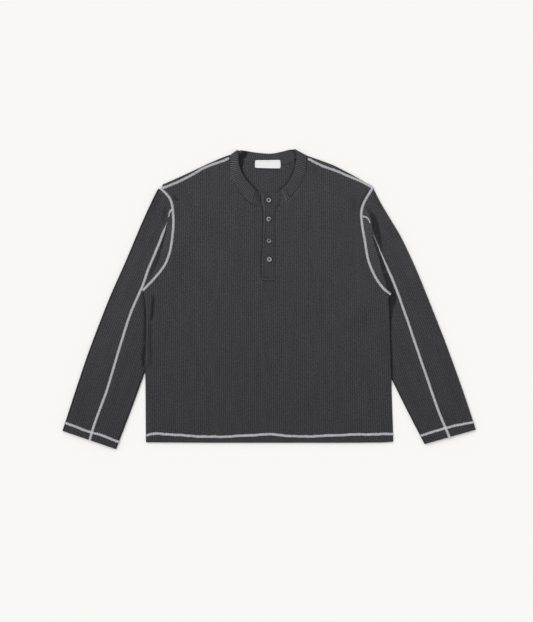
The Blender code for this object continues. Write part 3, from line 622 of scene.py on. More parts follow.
def run_tree(source: Object, tree: NodeTree, name: str, settings: dict[str, object]) -> Object:
    """Evaluate a geometry node tree on an object and keep the result as a plain mesh.

    Args:
        source: the object that the tree starts from; it is removed.
        tree: the tree.
        name: name of the new piece.
        settings: value of each named input.

    Returns:
        The new object.
    """
    modifier = source.modifiers.new("Nodes", "NODES")
    modifier.node_group = tree
    for item in tree.interface.items_tree:
        if item.in_out == "INPUT" and item.name in settings:
            modifier[item.identifier] = settings[item.name]
    ready = source.evaluated_get(bpy.context.evaluated_depsgraph_get())
    mesh = bpy.data.meshes.new_from_object(ready)
    source.modifiers.remove(modifier)
    bpy.data.objects.remove(source)
    mesh.name = name
    return add_object(name, mesh)


# ================================================================== finishes
def grey(level: float, tint: tuple[float, float, float] = (1.0, 1.0, 1.0)) -> tuple[float, ...]:
    """A tinted grey as an opaque linear colour."""
    return (*(level * part for part in tint), 1.0)


class Paint:
    """A material under way, on a Principled shader."""

    def __init__(self, name: str, **constants: object) -> None:
        """Start the material with constant inputs, by name with _ for a space.

        Args:
            name: the material's name.
            constants: the shader's constant inputs.
        """
        self.material = bpy.data.materials.new(name)
        self.material.use_nodes = True
        self.book = Book(self.material.node_tree)
        self.feed(**constants)

    def feed(self, **values: object) -> Material:
        """Set or link inputs of the shader, by name with _ for a space, and return the material.

        Args:
            values: the shader's inputs that vary.

        Returns:
            The material.
        """
        inputs = self.material.node_tree.nodes["Principled BSDF"].inputs
        for name, value in values.items():
            self.book.feed(inputs[name.replace("_", " ")], value)
        return self.material

    def place(self) -> Value:
        """The Object coordinates."""
        return self.book.node("ShaderNodeTexCoord", out="Object")

    def knit_map(self) -> tuple[Value, Value, Value]:
        """The piece's own map as a vector, and its two parts: the rib's number and place along it.

        Returns:
            The rib's number and the place along it.
        """
        where = self.book.node("ShaderNodeUVMap", {"uv_map": "knit"})
        across = self.book.node("ShaderNodeSeparateXYZ", Vector=where)
        return where, across, across.beside(1)

    def stored(self, label: str) -> Value:
        """A number stored on the mesh."""
        return self.book.node("ShaderNodeAttribute", {"attribute_name": label}, 2)

    def noise(self, where: Value, scale: tuple[float, ...], **settings: float) -> Value:
        """Noise, about 0.5 on average, that repeats scale times in each metre, by axis."""
        placed = self.book.node("ShaderNodeVectorMath", {"operation": "MULTIPLY"}, i0=where, i1=scale)
        return self.book.node("ShaderNodeTexNoise", Vector=placed, Scale=1.0, **settings)

    def bump(self, strength: float, distance: float, height: Value) -> Value:
        """A bumped normal, its distance in metres."""
        return self.book.node("ShaderNodeBump", Strength=strength, Distance=distance, Height=height)


@dataclass(frozen=True)
class KnitFinish:
    """Heather knit: dark and light fibres, small looped stitches, painted shade in the grooves between ribs,
    and the painted shade and light stored on each piece.
    """

    name: str
    level: float = 0.0518           # mean linear brightness
    tint: tuple[float, float, float] = (1.0, 0.998, 1.118)
    fleck: float = 0.6              # how far the lightest and darkest fibres are from the mean
    painted_groove_shade: float = 0.56            # how much darker the painted shade in the grooves between ribs is
    crease: float = 0.85            # how much darker the strongest painted shade is
    brightening: float = 0.43              # gain in brightness for each metre towards the shoulders
    wales: float = 2.0              # knitted columns in each rib
    loops: float = 620.0            # stitches for each metre along a rib

    def build(self) -> Material:
        """Make the material, on the piece's own map and its attribute of painted shade and light.

        Returns:
            The material.
        """
        paint = Paint(self.name, Roughness=0.88, Sheen_Weight=0.18, Sheen_Roughness=0.45,
                      Specular_IOR_Level=0.25, Sheen_Tint=grey(0.75, self.tint))
        where, across, along = paint.knit_map()
        fibres = paint.noise(where, (7.0, 620.0, 1.0), Detail=3.0, Roughness=0.6)
        tufts = paint.noise(where, (2.2, 330.0, 1.0), Detail=2.0, Roughness=0.6)
        cloudy = paint.noise(where, (0.35, 14.0, 1.0), Detail=2.0, Roughness=0.6)
        wale = (across * self.wales).tent()
        loop = (along * self.loops + wale * 0.5).tent()
        crest = across.tent() ** 0.6

        light = fibres * 1.5 + tufts * 2.4 + cloudy * 0.4 - 1.65
        # Painted shade in the grooves between the ribs.
        painted_rib_shade = 1.0 - (1.0 - crest) * self.painted_groove_shade
        # The colour grows lighter towards the shoulders.
        brightened = paint.book.node("ShaderNodeSeparateXYZ", out=1, Vector=paint.place()) * self.brightening + 1.0
        # Painted shade and light stored on the mesh darken or lighten the colour.
        shade = painted_rib_shade * (1.0 - paint.stored("crease") * self.crease) * (0.86 + loop * 0.16) * brightened
        colour = paint.book.mix(paint.book.node("ShaderNodeClamp", i0=light),
                                grey(self.level * (1.0 - self.fleck), self.tint),
                                grey(self.level * (1.0 + self.fleck), self.tint))
        shaded = paint.book.node("ShaderNodeVectorMath", {"operation": "SCALE"}, i0=colour, Scale=shade)
        height = loop * 0.6 + wale * 0.7 + fibres * 0.5
        return paint.feed(Base_Color=shaded, Normal=paint.bump(0.55, 0.00035, height))


@dataclass(frozen=True)
class ThreadFinish:
    """Sewing thread with a twist along each strand."""

    name: str
    level: float
    tint: tuple[float, float, float] = (1.0, 1.0, 1.02)
    variation: float = 0.16
    grain: float = 1400.0           # how fine its fibres are, for each metre

    def build(self) -> Material:
        """Make the material, on Object coordinates.

        Returns:
            The material.
        """
        paint = Paint(self.name, Roughness=0.55, Sheen_Weight=0.25, Specular_IOR_Level=0.4)
        noise = paint.noise(paint.place(), (self.grain,) * 3, Detail=2.0)
        colour = paint.book.mix(noise, grey(self.level * (1 - self.variation), self.tint),
                                grey(self.level * (1 + self.variation), self.tint))
        return paint.feed(Base_Color=colour, Normal=paint.bump(0.4, 0.0001, noise))


@dataclass(frozen=True)
class ButtonFinish:
    """Polished grey shell-like plastic with a faint cloud in it, and a painted tone on each button that
    holds painted glints and shade.
    """

    name: str = "button_gloss"
    dark: float = 0.018
    light: float = 0.33

    def build(self) -> Material:
        """Make the material, on Object coordinates and the button's tone with painted glints.

        Returns:
            The material.
        """
        paint = Paint(self.name, Roughness=0.18, Coat_Weight=0.6, Coat_Roughness=0.08,
                      Specular_IOR_Level=0.6)
        cloud = paint.noise(paint.place(), (260.0, 420.0, 260.0), Detail=3.0, Distortion=0.8)
        share = paint.stored("tone") * (0.55 + cloud * 0.9)
        return paint.feed(Base_Color=paint.book.mix(paint.book.node("ShaderNodeClamp", i0=share),
                                                    grey(self.dark), grey(self.light)))


@dataclass(frozen=True)
class LabelFinish:
    """Plain white woven tape with a fine frame woven into it."""

    name: str = "label_weave"
    level: float = 0.86
    frame_level: float = 0.70
    frame_width: float = 0.0005
    frame_reach: tuple[float, float] = (0.0284, 0.0083)     # from the middle to the frame

    def build(self) -> Material:
        """Make the material; its map is in metres from the middle of the label.

        Returns:
            The material.
        """
        paint = Paint(self.name, Roughness=0.75, Sheen_Weight=0.1)
        _, across, along = paint.knit_map()
        warp, weft = (across * 2200.0).tent(), (along * 2600.0).tent()
        wide, high = self.frame_reach
        on_side = (abs(abs(across) - wide) < self.frame_width) * (abs(along) < high)
        on_end = (abs(abs(along) - high) < self.frame_width) * (abs(across) < wide)
        weave = paint.book.mix(warp * weft, grey(self.level * 0.93, (1.0, 1.0, 1.02)), grey(self.level))
        colour = paint.book.mix(on_side.math("MAXIMUM", on_end), weave, grey(self.frame_level))
        return paint.feed(Base_Color=colour, Normal=paint.bump(0.35, 0.00012, warp + weft))


# ================================================================== cloth meshes
@dataclass
class Cloth:
    """Points and faces of a piece, with what its ribs and its knit read at each point."""

    points: np.ndarray              # x, y, z in millimetres
    faces: Faces
    ribs: Values                    # number of the rib, whole in the grooves
    along: Values                   # place along the ribs in millimetres
    raised: Values                  # how much of a rib's height is raised here
    crease: Values                  # painted shade, up to 1; below 0, painted light

    def object(self, name: str) -> Object:
        """Make the object in metres, with its knit map and attributes.

        Args:
            name: the object's name.

        Returns:
            The object, its faces pointing out.
        """
        made = plain_object(name, self.points, self.faces)
        mesh = made.data
        for label in ("ribs", "raised", "crease"):
            store(mesh, label, getattr(self, label))
        corners = np.zeros(len(mesh.loops), np.int32)
        mesh.loops.foreach_get("vertex_index", corners)
        uv = np.column_stack([self.ribs, self.along * MM])[corners]
        mesh.uv_layers.new(name="knit").data.foreach_set("uv", uv.astype(np.float32).ravel())
        return made


def triangulate(ring: Plan, lines: Sequence[Plan], spots: Plan | None = None,
                merge: float = MERGE) -> tuple[Plan, np.ndarray]:
    """Triangles of a plan outline that keep to lines and spots; what lies outside is dropped.

    Args:
        ring: the outline, in counter-clockwise order.
        lines: lines that become edges.
        spots: loose points.
        merge: points closer than this become one.

    Returns:
        The points, and three point numbers for each triangle.
    """
    points = np.vstack([ring, *lines] + ([] if spots is None else [spots]))
    edges, first = [], len(ring)
    for line in lines:
        edges += [(i, i + 1) for i in range(first, first + len(line) - 1)]
        first += len(line)
    found = delaunay_2d_cdt([Vector(p) for p in points.tolist()], edges, [list(range(len(ring)))], 0,
                            merge, True)
    inside = [triangle for triangle, owner in zip(found[2], found[5]) if owner]
    used, numbers = np.unique(np.array(inside), return_inverse=True)
    return np.array([found[0][i] for i in used], float), numbers.reshape(-1, 3)


def border(triangles: np.ndarray) -> list[int]:
    """Follow the outline, by the edges that one triangle alone uses.

    Args:
        triangles: point numbers.

    Returns:
        The outline's point numbers in order.
    """
    used = {(int(t[i]), int(t[(i + 1) % 3])) for t in triangles for i in range(3)}
    after = {a: b for a, b in used if (b, a) not in used}
    loop = [min(after)]
    while after[loop[-1]] != loop[0]:
        loop.append(after[loop[-1]])
    return loop


def ring_of(*runs: Plan | Sequence[Row], apart: float = 0.8) -> Plan:
    """Chain runs into one outline, without repeated points.

    Args:
        runs: the outline's stretches in order.
        apart: points closer than this to the one before are left out.

    Returns:
        The outline, counter-clockwise.
    """
    ring: list[np.ndarray] = []
    for point in np.vstack([np.array(run, float) for run in runs]):
        if not ring or math.dist(ring[-1], point) > apart:
            ring.append(point)
    if math.dist(ring[0], ring[-1]) < apart:
        ring.pop()
    points = np.array(ring)
    return points if area_of(points) > 0 else points[::-1]


def lattice(low: Row, high: Row, step: float) -> Plan:
    """Loose points on a staggered grid between two corners."""
    xs, ys = np.arange(low[0], high[0], step), np.arange(low[1], high[1], step)
    return np.array([(x, y + (0.5 * step if i % 2 else 0.0)) for i, x in enumerate(xs) for y in ys])


@dataclass
class Wall:
    """A closed wall of cloth over a plan outline."""

    ring: Plan
    top: Field
    bottom: Field
    ribs: Field                             # rib number and place along it
    raised: Field
    lines: Sequence[Plan] = ()
    spots: Plan | None = None
    under_lines: Sequence[Plan] = ()
    under_spots: Plan | None = None
    # painted shade at each point; below 0, painted light
    crease: Field = lambda at: np.zeros(len(at))
    edge_drop: float = 0.45                 # the upper face rounds down by this much at its edge
    edge_round: float = 1.6
    edge_rows: tuple[float, ...] = (0.45, 1.6)
    open_edges: Sequence[Line] = ()         # where a tube of cloth is open
    fold_inset: float = 1.7                 # cloth left outside the hollow at a folded edge
    hollow_step: float = 16.0               # between the loose points of a tube's inner faces

    def cloth(self) -> Cloth:
        """Build the wall.

        Returns:
            The closed cloth.
        """
        loops = [closed(offset(self.ring, row, True)) for row in self.edge_rows]
        upper, top_faces = triangulate(self.ring, [*self.lines, *loops], self.spots)
        rim = border(top_faces)
        edge = upper[rim]
        lower, low_faces, low_rim = self.layer(edge, self.under_lines, self.under_spots)
        soft = round_over(Line(closed(self.ring)).distance(upper) / self.edge_round)
        heights = [self.top(upper) - self.edge_drop * (1.0 - soft), self.bottom(lower)]
        plans, base = [upper, lower], len(upper)
        faces = [tuple(t) for t in top_faces.tolist()]
        faces += [tuple(base + i for i in reversed(t)) for t in low_faces.tolist()]
        low_rim = [base + i for i in low_rim]
        if self.open_edges:
            inner, inner_heights, inner_faces = self.hollow(edge, rim, low_rim, base + len(lower))
            plans += [inner, inner]
            heights += inner_heights
            faces += inner_faces
        else:
            faces += [(rim[j], rim[i], low_rim[i], low_rim[j])
                      for i, j in zip(range(len(rim)), [*range(1, len(rim)), 0])]
        plan = np.vstack(plans)
        raised = np.append(self.raised(upper), np.zeros(len(plan) - base))
        return Cloth(np.column_stack([plan, np.concatenate(heights)]), faces, *self.ribs(plan).T, raised,
                     self.crease(plan))

    @staticmethod
    def layer(edge: Plan, lines: Sequence[Plan], spots: Plan | None) -> tuple[Plan, np.ndarray, list[int]]:
        """A plain layer over the same outline.

        Args:
            edge: the outline.
            lines: lines that it keeps to.
            spots: loose points.

        Returns:
            Its points, its triangles, and the number of each outline point.
        """
        points, faces = triangulate(edge, lines, spots, 1e-4)
        numbers = []
        for place in edge:
            numbers.append(int(np.abs(points - place).sum(axis=1).argmin()))
            points[numbers[-1]] = place
        return points, faces, numbers

    def hollow(self, edge: Plan, rim: list[int], low_rim: list[int], first: int
               ) -> tuple[Plan, list[Values], Faces]:
        """The inner faces of a flattened tube and the rims that join them to its outer faces.

        Args:
            edge: the outline's points.
            rim: their numbers on the upper face.
            low_rim: their numbers on the lower face.
            first: the number that the first new point gets.

        Returns:
            The plan of each inner face, their heights, and all the new faces.
        """
        is_open = np.zeros(len(edge), bool)
        for line in self.open_edges:
            near = line.measure(edge)
            inside = (near.along > self.fold_inset) & (near.along < line.length - self.fold_inset)
            is_open |= (near.distance < MERGE) & inside
        ring, source = [], []
        for i, (place, moved) in enumerate(zip(edge, offset(edge, self.fold_inset, True))):
            if is_open[i]:
                ring.append(place)
                source.append(i)
                continue
            to_open, to_edge = (np.hypot(*(points - moved).T).min() for points in (edge[is_open], edge))
            repeated = source and source[-1] is None and math.dist(ring[-1], moved) < 4.0
            if to_open > self.fold_inset and to_edge > 0.9 * self.fold_inset and not repeated:
                ring.append(moved)
                source.append(None)
        points = np.array(ring)
        spots = lattice(tuple(points.min(0)), tuple(points.max(0)), self.hollow_step)
        plan, triangles, numbers = self.layer(points, (), spots)
        low = self.bottom(plan) + WALL
        high = np.maximum(self.top(plan) - WALL, low + 0.4)
        second = first + len(plan)
        up = {s: first + n for s, n in zip(source, numbers) if s is not None}
        down = {s: second + n for s, n in zip(source, numbers) if s is not None}
        faces = [tuple(first + i for i in reversed(t)) for t in triangles.tolist()]
        faces += [tuple(second + i for i in t) for t in triangles.tolist()]
        for i, j in zip(range(len(edge)), [*range(1, len(edge)), 0]):
            if is_open[i] and is_open[j]:
                faces += [(rim[j], rim[i], up[i], up[j]), (down[j], down[i], low_rim[i], low_rim[j])]
                continue
            start = (up[i], down[i]) if is_open[i] else ()
            end = (down[j], up[j]) if is_open[j] else ()
            faces.append((rim[j], rim[i], *start, low_rim[i], low_rim[j], *end))
        for s, t, a, b in zip(source, source[1:] + source[:1], numbers, numbers[1:] + numbers[:1]):
            if s is None or t is None:
                faces.append((first + a, first + b, second + b, second + a))
        return plan, [high, low], faces


@cache
def rib_relief() -> NodeTree:
    """Make the tree that raises each point by its rib's rounded section.

    Returns:
        The tree.
    """
    book, given = geometry_tree("RibRelief", {
        "Rib height": ("Float", RIB_HEIGHT * MM),
        "Roundness": ("Float", 0.5),
        "Cloth": ("Material", None),
    })
    number, raised = (book.node("GeometryNodeInputNamedAttribute", {"data_type": "FLOAT"}, Name=label)
                      for label in ("ribs", "raised"))
    rise = number.tent() ** given["Roundness"] * raised * given["Rib height"]
    moved = book.node("GeometryNodeSetPosition", Geometry=given["Geometry"],
                      Offset=book.node("ShaderNodeCombineXYZ", Z=rise))
    return end_tree(moved, given["Cloth"])


def dress(piece: Object, slot: str, *nodes: str) -> Object:
    """Attach a finished piece to the root and hide the nodes that it stands for.

    Args:
        piece: the piece.
        slot: the record's material that it shows; not used.
        nodes: the nodes that it stands for.

    Returns:
        The piece.
    """
    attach(piece, "root")
    if nodes:
        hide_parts(*nodes)
    log.info("%s: %d faces", piece.name, len(piece.data.polygons))
    return piece


def knitted(cloth: Cloth, name: str, finish: Material, node: str, slot: str = "knit",
            height: float = RIB_HEIGHT) -> Object:
    """Make a ribbed piece.

    Args:
        cloth: its points, faces and ribs.
        name: the piece's name.
        finish: its material.
        node: the node that it stands for.
        slot: the record's material that it shows.
        height: how far its ribs stand up, in millimetres.

    Returns:
        The piece.
    """
    piece = run_tree(cloth.object(name + "_plain"), rib_relief(), name,
                     {"Rib height": height * MM, "Cloth": finish})
    return dress(piece, slot, node)


# ================================================================== stitches
def tube(rings: np.ndarray, turns_left: bool = True) -> Solid:
    """A closed tube through rings of points.

    Args:
        rings: x, y, z of each point of each ring.
        turns_left: whether a ring turns left, seen along the tube.

    Returns:
        Its points and faces.
    """
    count, sides = rings.shape[:2]
    faces = [(n * sides + k, n * sides + (k + 1) % sides, (n + 1) * sides + (k + 1) % sides,
              (n + 1) * sides + k) for n in range(count - 1) for k in range(sides)]
    ends = [tuple(range(sides)), tuple(range((count - 1) * sides, count * sides))]
    faces.append(ends[0][::-1] if turns_left else ends[0])
    faces.append(ends[1] if turns_left else ends[1][::-1])
    return rings.reshape(-1, 3), faces


def thread_tube(path: np.ndarray, width: float, height: float, sides: int = 6) -> Solid:
    """A flattened thread along a path, closed and tapered at both ends.

    Args:
        path: its centre line, one row of x, y, z for each section.
        width: full width.
        height: full height.
        sides: corners of each section.

    Returns:
        Its points and faces.
    """
    along = np.gradient(path, axis=0)
    along /= np.linalg.norm(along, axis=1)[:, None]
    across = np.cross(np.array([0.0, 0.0, 1.0]), along)
    across /= np.maximum(np.linalg.norm(across, axis=1)[:, None], 1e-9)
    up = np.cross(along, across)
    taper = np.ones((len(path), 1, 1))
    taper[[0, -1]] = 0.5
    turns = math.tau * (np.arange(sides)[:, None] + 0.5) / sides
    section = 0.5 * width * np.cos(turns) * across[:, None] + 0.5 * height * np.sin(turns) * up[:, None]
    return tube(path[:, None] + taper * section)


def joined(parts: Sequence[Solid]) -> Solid:
    """Several meshes as one.

    Args:
        parts: the meshes.

    Returns:
        Their points and faces together.
    """
    points, faces = [], []
    for place, corners in parts:
        first = sum(map(len, points))
        faces += [tuple(first + i for i in corner) for corner in corners]
        points.append(place)
    return np.vstack(points), faces


class StitchKind(Enum):
    """The stitches that the shirt is sewn with."""

    FLATLOCK = "flatlock"       # wide covering band: two needle rows over crossing loops
    RUNNING = "running"         # one row of short stitches


@dataclass(frozen=True)
class Stitch:
    """One repeat of a stitch."""

    kind: StitchKind
    pitch: float
    width: float = 6.0
    thread: float = 0.95

    def unit(self) -> Object:
        """Make the repeat: x along the seam, y across it, z up.

        Returns:
            The repeat.
        """
        if self.kind is StitchKind.RUNNING:
            parts = [self.leg((0.4, 0.0), (self.pitch - 0.5, 0.0), 0.22, 0.42)]
        else:
            half, middle = 0.5 * (self.width - self.thread), 0.5 * self.pitch
            parts = [self.leg((0.1, y), (self.pitch - 0.12, y), 0.22, 0.42) for y in (-half, half)]
            parts += [self.leg(first, last, 0.12, 0.16, 1.05, 0.5) for first, last in
                      (((0.0, -half), (middle, half)), ((middle, half), (self.pitch, -half)))]
        return plain_object("repeat_" + self.kind.value, *joined(parts))

    def leg(self, first: Row, last: Row, low: float, rise: float, wide: float = 1.0, high: float = 0.75
            ) -> Solid:
        """One stretch of thread that rises between the two places where it enters the cloth.

        Args:
            first: where it starts, in plan.
            last: where it ends.
            low: height of its ends.
            rise: how much higher its middle is.
            wide: its width, as a share of the thread.
            high: its height, as a share of the thread.

        Returns:
            Its points and faces.
        """
        t = np.linspace(0.0, 1.0, 4)
        plan = np.array(first) + t[:, None] * (np.array(last) - np.array(first))
        path = np.column_stack([plan, low + rise * np.sin(math.pi * t)])
        return thread_tube(path, wide * self.thread, high * self.thread)


@cache
def stitch_run() -> NodeTree:
    """Make the tree that lays a repeat at every pitch of a path, turned to it and to the cloth.

    Returns:
        The tree.
    """
    book, given = geometry_tree("StitchRun", {
        "Pitch": ("Float", 2.2 * MM),
        "Repeat": ("Object", None),
        "Thread": ("Material", None),
        "Wobble": ("Float", 0.05),
        "Seed": ("Int", 3),
    })
    line = book.node("GeometryNodeMeshToCurve", Mesh=given["Geometry"])
    places = book.node("GeometryNodeResampleCurve", {"mode": "LENGTH"}, Curve=line, Length=given["Pitch"])
    up, size = (book.node("GeometryNodeInputNamedAttribute", {"data_type": kind}, Name=label)
                for label, kind in (("up", "FLOAT_VECTOR"), ("size", "FLOAT")))
    forward = book.node("FunctionNodeAlignRotationToVector", {"axis": "X"},
                        Vector=book.node("GeometryNodeInputTangent"))
    upright = book.node("FunctionNodeAlignRotationToVector", {"axis": "Z", "pivot_axis": "X"},
                        Rotation=forward, Vector=up)
    swing, stretch = (book.node("FunctionNodeRandomValue", {"data_type": "FLOAT"}, 1, i2=-1.0, i3=1.0,
                                Seed=seed) for seed in (given["Seed"], given["Seed"] + 7))
    turn = book.node("ShaderNodeCombineXYZ", Z=given["Wobble"] * swing * 1.4)
    turned = book.node("FunctionNodeRotateRotation", {"rotation_space": "LOCAL"}, Rotation=upright,
                       Rotate_By=turn)
    scale = (given["Wobble"] * stretch + 1.0) * size
    repeat = book.node("GeometryNodeObjectInfo", out="Geometry", Object=given["Repeat"])
    laid = book.node("GeometryNodeInstanceOnPoints", Points=places, Instance=repeat, Rotation=turned,
                     Scale=book.node("ShaderNodeCombineXYZ", X=1.0, Y=scale, Z=scale))
    return end_tree(laid, given["Thread"])


@dataclass(frozen=True)
class Laid:
    """A path that lies on the cloth."""

    points: np.ndarray      # x, y, z rows in millimetres
    up: np.ndarray          # the cloth's way up at each point
    size: Values            # size of the stitches there, as a share


def sew(name: str, paths: Sequence[Laid], stitch: Stitch, thread: Material, wobble: float,
        seed: int = 3) -> Object:
    """Sew along paths that lie on the cloth.

    Args:
        name: the piece's name.
        paths: the paths.
        stitch: the stitch.
        thread: its finish.
        wobble: unevenness, as a share of the stitch's size.
        seed: the unevenness is drawn from it.

    Returns:
        One plain mesh of thread.
    """
    mesh = bpy.data.meshes.new(name + "_path")
    edges, first = [], 0
    for path in paths:
        edges += [(i, i + 1) for i in range(first, first + len(path.points) - 1)]
        first += len(path.points)
    mesh.from_pydata((np.vstack([path.points for path in paths]) * MM).tolist(), edges, [])
    store(mesh, "up", np.vstack([path.up for path in paths]))
    store(mesh, "size", np.concatenate([path.size for path in paths]))
    repeat = stitch.unit()
    piece = run_tree(add_object(name + "_path", mesh), stitch_run(), name, {
        "Pitch": stitch.pitch * MM, "Repeat": repeat, "Thread": thread, "Wobble": wobble,
        "Seed": seed})
    bpy.data.objects.remove(repeat)
    piece.data.shade_smooth()
    return dress(piece, "knit")


class Surface:
    """The finished cloth as seen from above, for what is sewn on it."""

    def __init__(self, *pieces: Object) -> None:
        """Keep a search tree of each piece.

        Args:
            pieces: the cloth.
        """
        self.trees = [BVHTree.FromPolygons([v.co.copy() for v in piece.data.vertices],
                                           [tuple(p.vertices) for p in piece.data.polygons])
                      for piece in pieces]

    def height(self, x: float, y: float) -> float:
        """Height of the uppermost cloth at a plan point; 0 beside the shirt.

        Args:
            x: place across.
            y: place along.

        Returns:
            The height.
        """
        hits = [tree.ray_cast(Vector((x, y, HIGH_UP)) * MM, Vector((0.0, 0.0, -1.0)))[0]
                for tree in self.trees]
        return max([0.0, *(hit.z / MM for hit in hits if hit is not None)])

    def lay(self, rows: Sequence[Row], width: float = 6.0, step: float = 1.1,
            sizes: Row = (1.0, 1.0), wave: float = 0.0, ramp: float = 0.0) -> Laid:
        """Lay a path on the cloth, level enough to bridge its ribs.

        Args:
            rows: the plan path.
            width: how wide the stitches on it are.
            step: distance between its points.
            sizes: size of the stitches at both ends, as a share.
            wave: how far the path strays sideways.
            ramp: length over which the first size turns into the last; 0 for the whole path.

        Returns:
            The path.
        """
        line = spline(rows)
        length = line_length(line)
        plan = even(line, max(2, round(length / step)))
        reach = np.linspace(0.0, length, len(plan))
        if wave:
            stray = wave * (np.sin(reach / 11.0) + 0.6 * np.sin(reach / 4.3 + 1.0)
                            + 0.5 * np.sin(reach / 27.0 + 2.0))
            plan = plan + stray[:, None] * left_of(plan)
        side = left_of(plan)
        heights = np.array([[self.height(*(p + s * width * q)) for s in (-0.5, -0.25, 0.0, 0.25, 0.5)]
                            for p, q in zip(plan, side)])
        heights = np.where(heights > 0.5, heights, heights.max(axis=1)[:, None])
        window = max(1, round(1.4 / step))
        right, middle, left = (self.level(heights[:, columns].max(axis=1), window)
                               for columns in ([0, 1], [2], [3, 4]))
        lean = np.clip((left - right) / (0.75 * width), -0.8, 0.8)
        up = np.column_stack([-side * lean[:, None], np.ones(len(plan))])
        size = sizes[0] + (sizes[1] - sizes[0]) * smooth(reach / (ramp or length))
        return Laid(np.column_stack([plan, np.maximum(middle, 0.5 * (left + right))]), up, size)

    @staticmethod
    def level(heights: Values, reach: int) -> Values:
        """Bridge and soften the crests of a row of heights.

        Args:
            heights: the heights.
            reach: how many of them on each side count.

        Returns:
            The levelled heights.
        """
        window = 2 * reach + 1
        padded = np.pad(heights, reach, mode="edge")
        crest = np.array([padded[i:i + window].max() for i in range(len(heights))])
        return np.convolve(np.pad(crest, reach, mode="edge"), np.ones(window) / window, "valid")


# ================================================================== ribs in plan
class BodyRibs:
    """Upright ribs of the body, which follow the side edges where they come close."""

    def __init__(self) -> None:
        """Keep the side edges' places by height."""
        self.pitch = (RIB_END_X - RIB_START_X) / BODY_RIBS
        self.sides = [np.array(rows[::-1], float).T for rows in SIDE_ROWS.values()]

    def lean(self, x: Values, y: Values) -> Values:
        """Sideways shift of the ribs.

        Args:
            x: the places across.
            y: the places along.

        Returns:
            The shift at each place.
        """
        start, end = (np.interp(np.minimum(y, 3.0), heights, places) for places, heights in self.sides)
        near_start = smooth(1.0 - (x - RIB_START_X) / LEAN_WIDTH)
        near_end = smooth(1.0 - (RIB_END_X - x) / LEAN_WIDTH)
        return near_start * (start - RIB_START_X) + near_end * (end - RIB_END_X)

    def numbers(self, at: Plan) -> np.ndarray:
        """Rib number and place along the rib.

        Args:
            at: the points.

        Returns:
            Two numbers for each point.
        """
        straight = at[:, 0]
        for _ in range(4):
            straight = at[:, 0] - self.lean(straight, at[:, 1])
        return np.column_stack([(straight - RIB_START_X) / self.pitch, at[:, 1]])

    def lines(self, low: Row, high: Row, step: float) -> list[Plan]:
        """Mesh lines along the ribs between two corners.

        Args:
            low: the lower corner.
            high: the upper corner.
            step: distance between the points of a line.

        Returns:
            The lines.
        """
        spacing = self.pitch / LINES_PER_RIB
        first = math.ceil((low[0] - RIB_START_X) / spacing)
        last = math.floor((high[0] - RIB_START_X) / spacing)
        rows = np.linspace(low[1], high[1], max(2, round((high[1] - low[1]) / step) + 1))
        straight = [np.full(len(rows), RIB_START_X + k * spacing) for k in range(first, last + 1)]
        return [np.column_stack([x + self.lean(x, rows), rows]) for x in straight]


def side_run(side: Side, inset: float = 0.0) -> Plan:
    """The body's side edge from the underarm to the hem.

    Args:
        side: which side.
        inset: how far it is moved in.

    Returns:
        The edge.
    """
    xs, ys = np.array(SIDE_ROWS[side], float).T
    places = np.concatenate([[ys[0]], np.arange(8.0, -341.0, -9.0), [-341.0]])
    places = places[places <= ys[0]]
    return np.column_stack([np.interp(places, ys[::-1], xs[::-1]) - side.value * inset, places])


SIDE = {side: Line(side_run(side)) for side in Side}
TUCK_LINE = {side: Line(TUCK[side]) for side in Side}
BANDS = [Line(rows) for table in (LONG_SEAM, CUFF_SEAM, SHOULDER_SEAM, ARM_SEAM)
         for rows in table.values()] + [Line(HEM_SEAM)]


def lift(at: Plan) -> Values:
    """How far the sleeves that are tucked under the body raise it.

    Args:
        at: the points.

    Returns:
        The rise at each.
    """
    height = np.zeros(len(at))
    for side, line in TUCK_LINE.items():
        near = line.measure(at)
        within = (at[:, 1] > TUCK[side][0][1]) & (at[:, 1] < TUCK[side][-1][1])
        spread = np.where(within & (near.side == -side.value), 0.0, near.distance)
        height = np.maximum(height, TUCK_LIFT * smooth(1.0 - spread / TUCK_SPREAD))
    return height


def pressed(at: Plan) -> Values:
    """How much of a rib's height is left beside the covering bands, which press it flat."""
    nearest = np.min([band.distance(at) for band in BANDS], axis=0)
    return 0.12 + 0.88 * smooth((nearest - 2.2) / 2.2)


# ================================================================== pieces
@dataclass
class Cut:
    """One cut piece of cloth as it lies, with its outline in plan."""

    piece: Object
    outline: Plan
    rests_on: Sequence[str]
    layers: int = 1                 # 2 for a tube of cloth pressed flat
    size: Row | None = None         # width and length it was cut to, if its outline lies askew

    def declare(self, sewn_on: Sequence[Object]) -> None:
        """Args:
            sewn_on: the pieces on it, such as its seams; not used.
        """
        area = self.layers * area_of(self.outline) * MM * MM


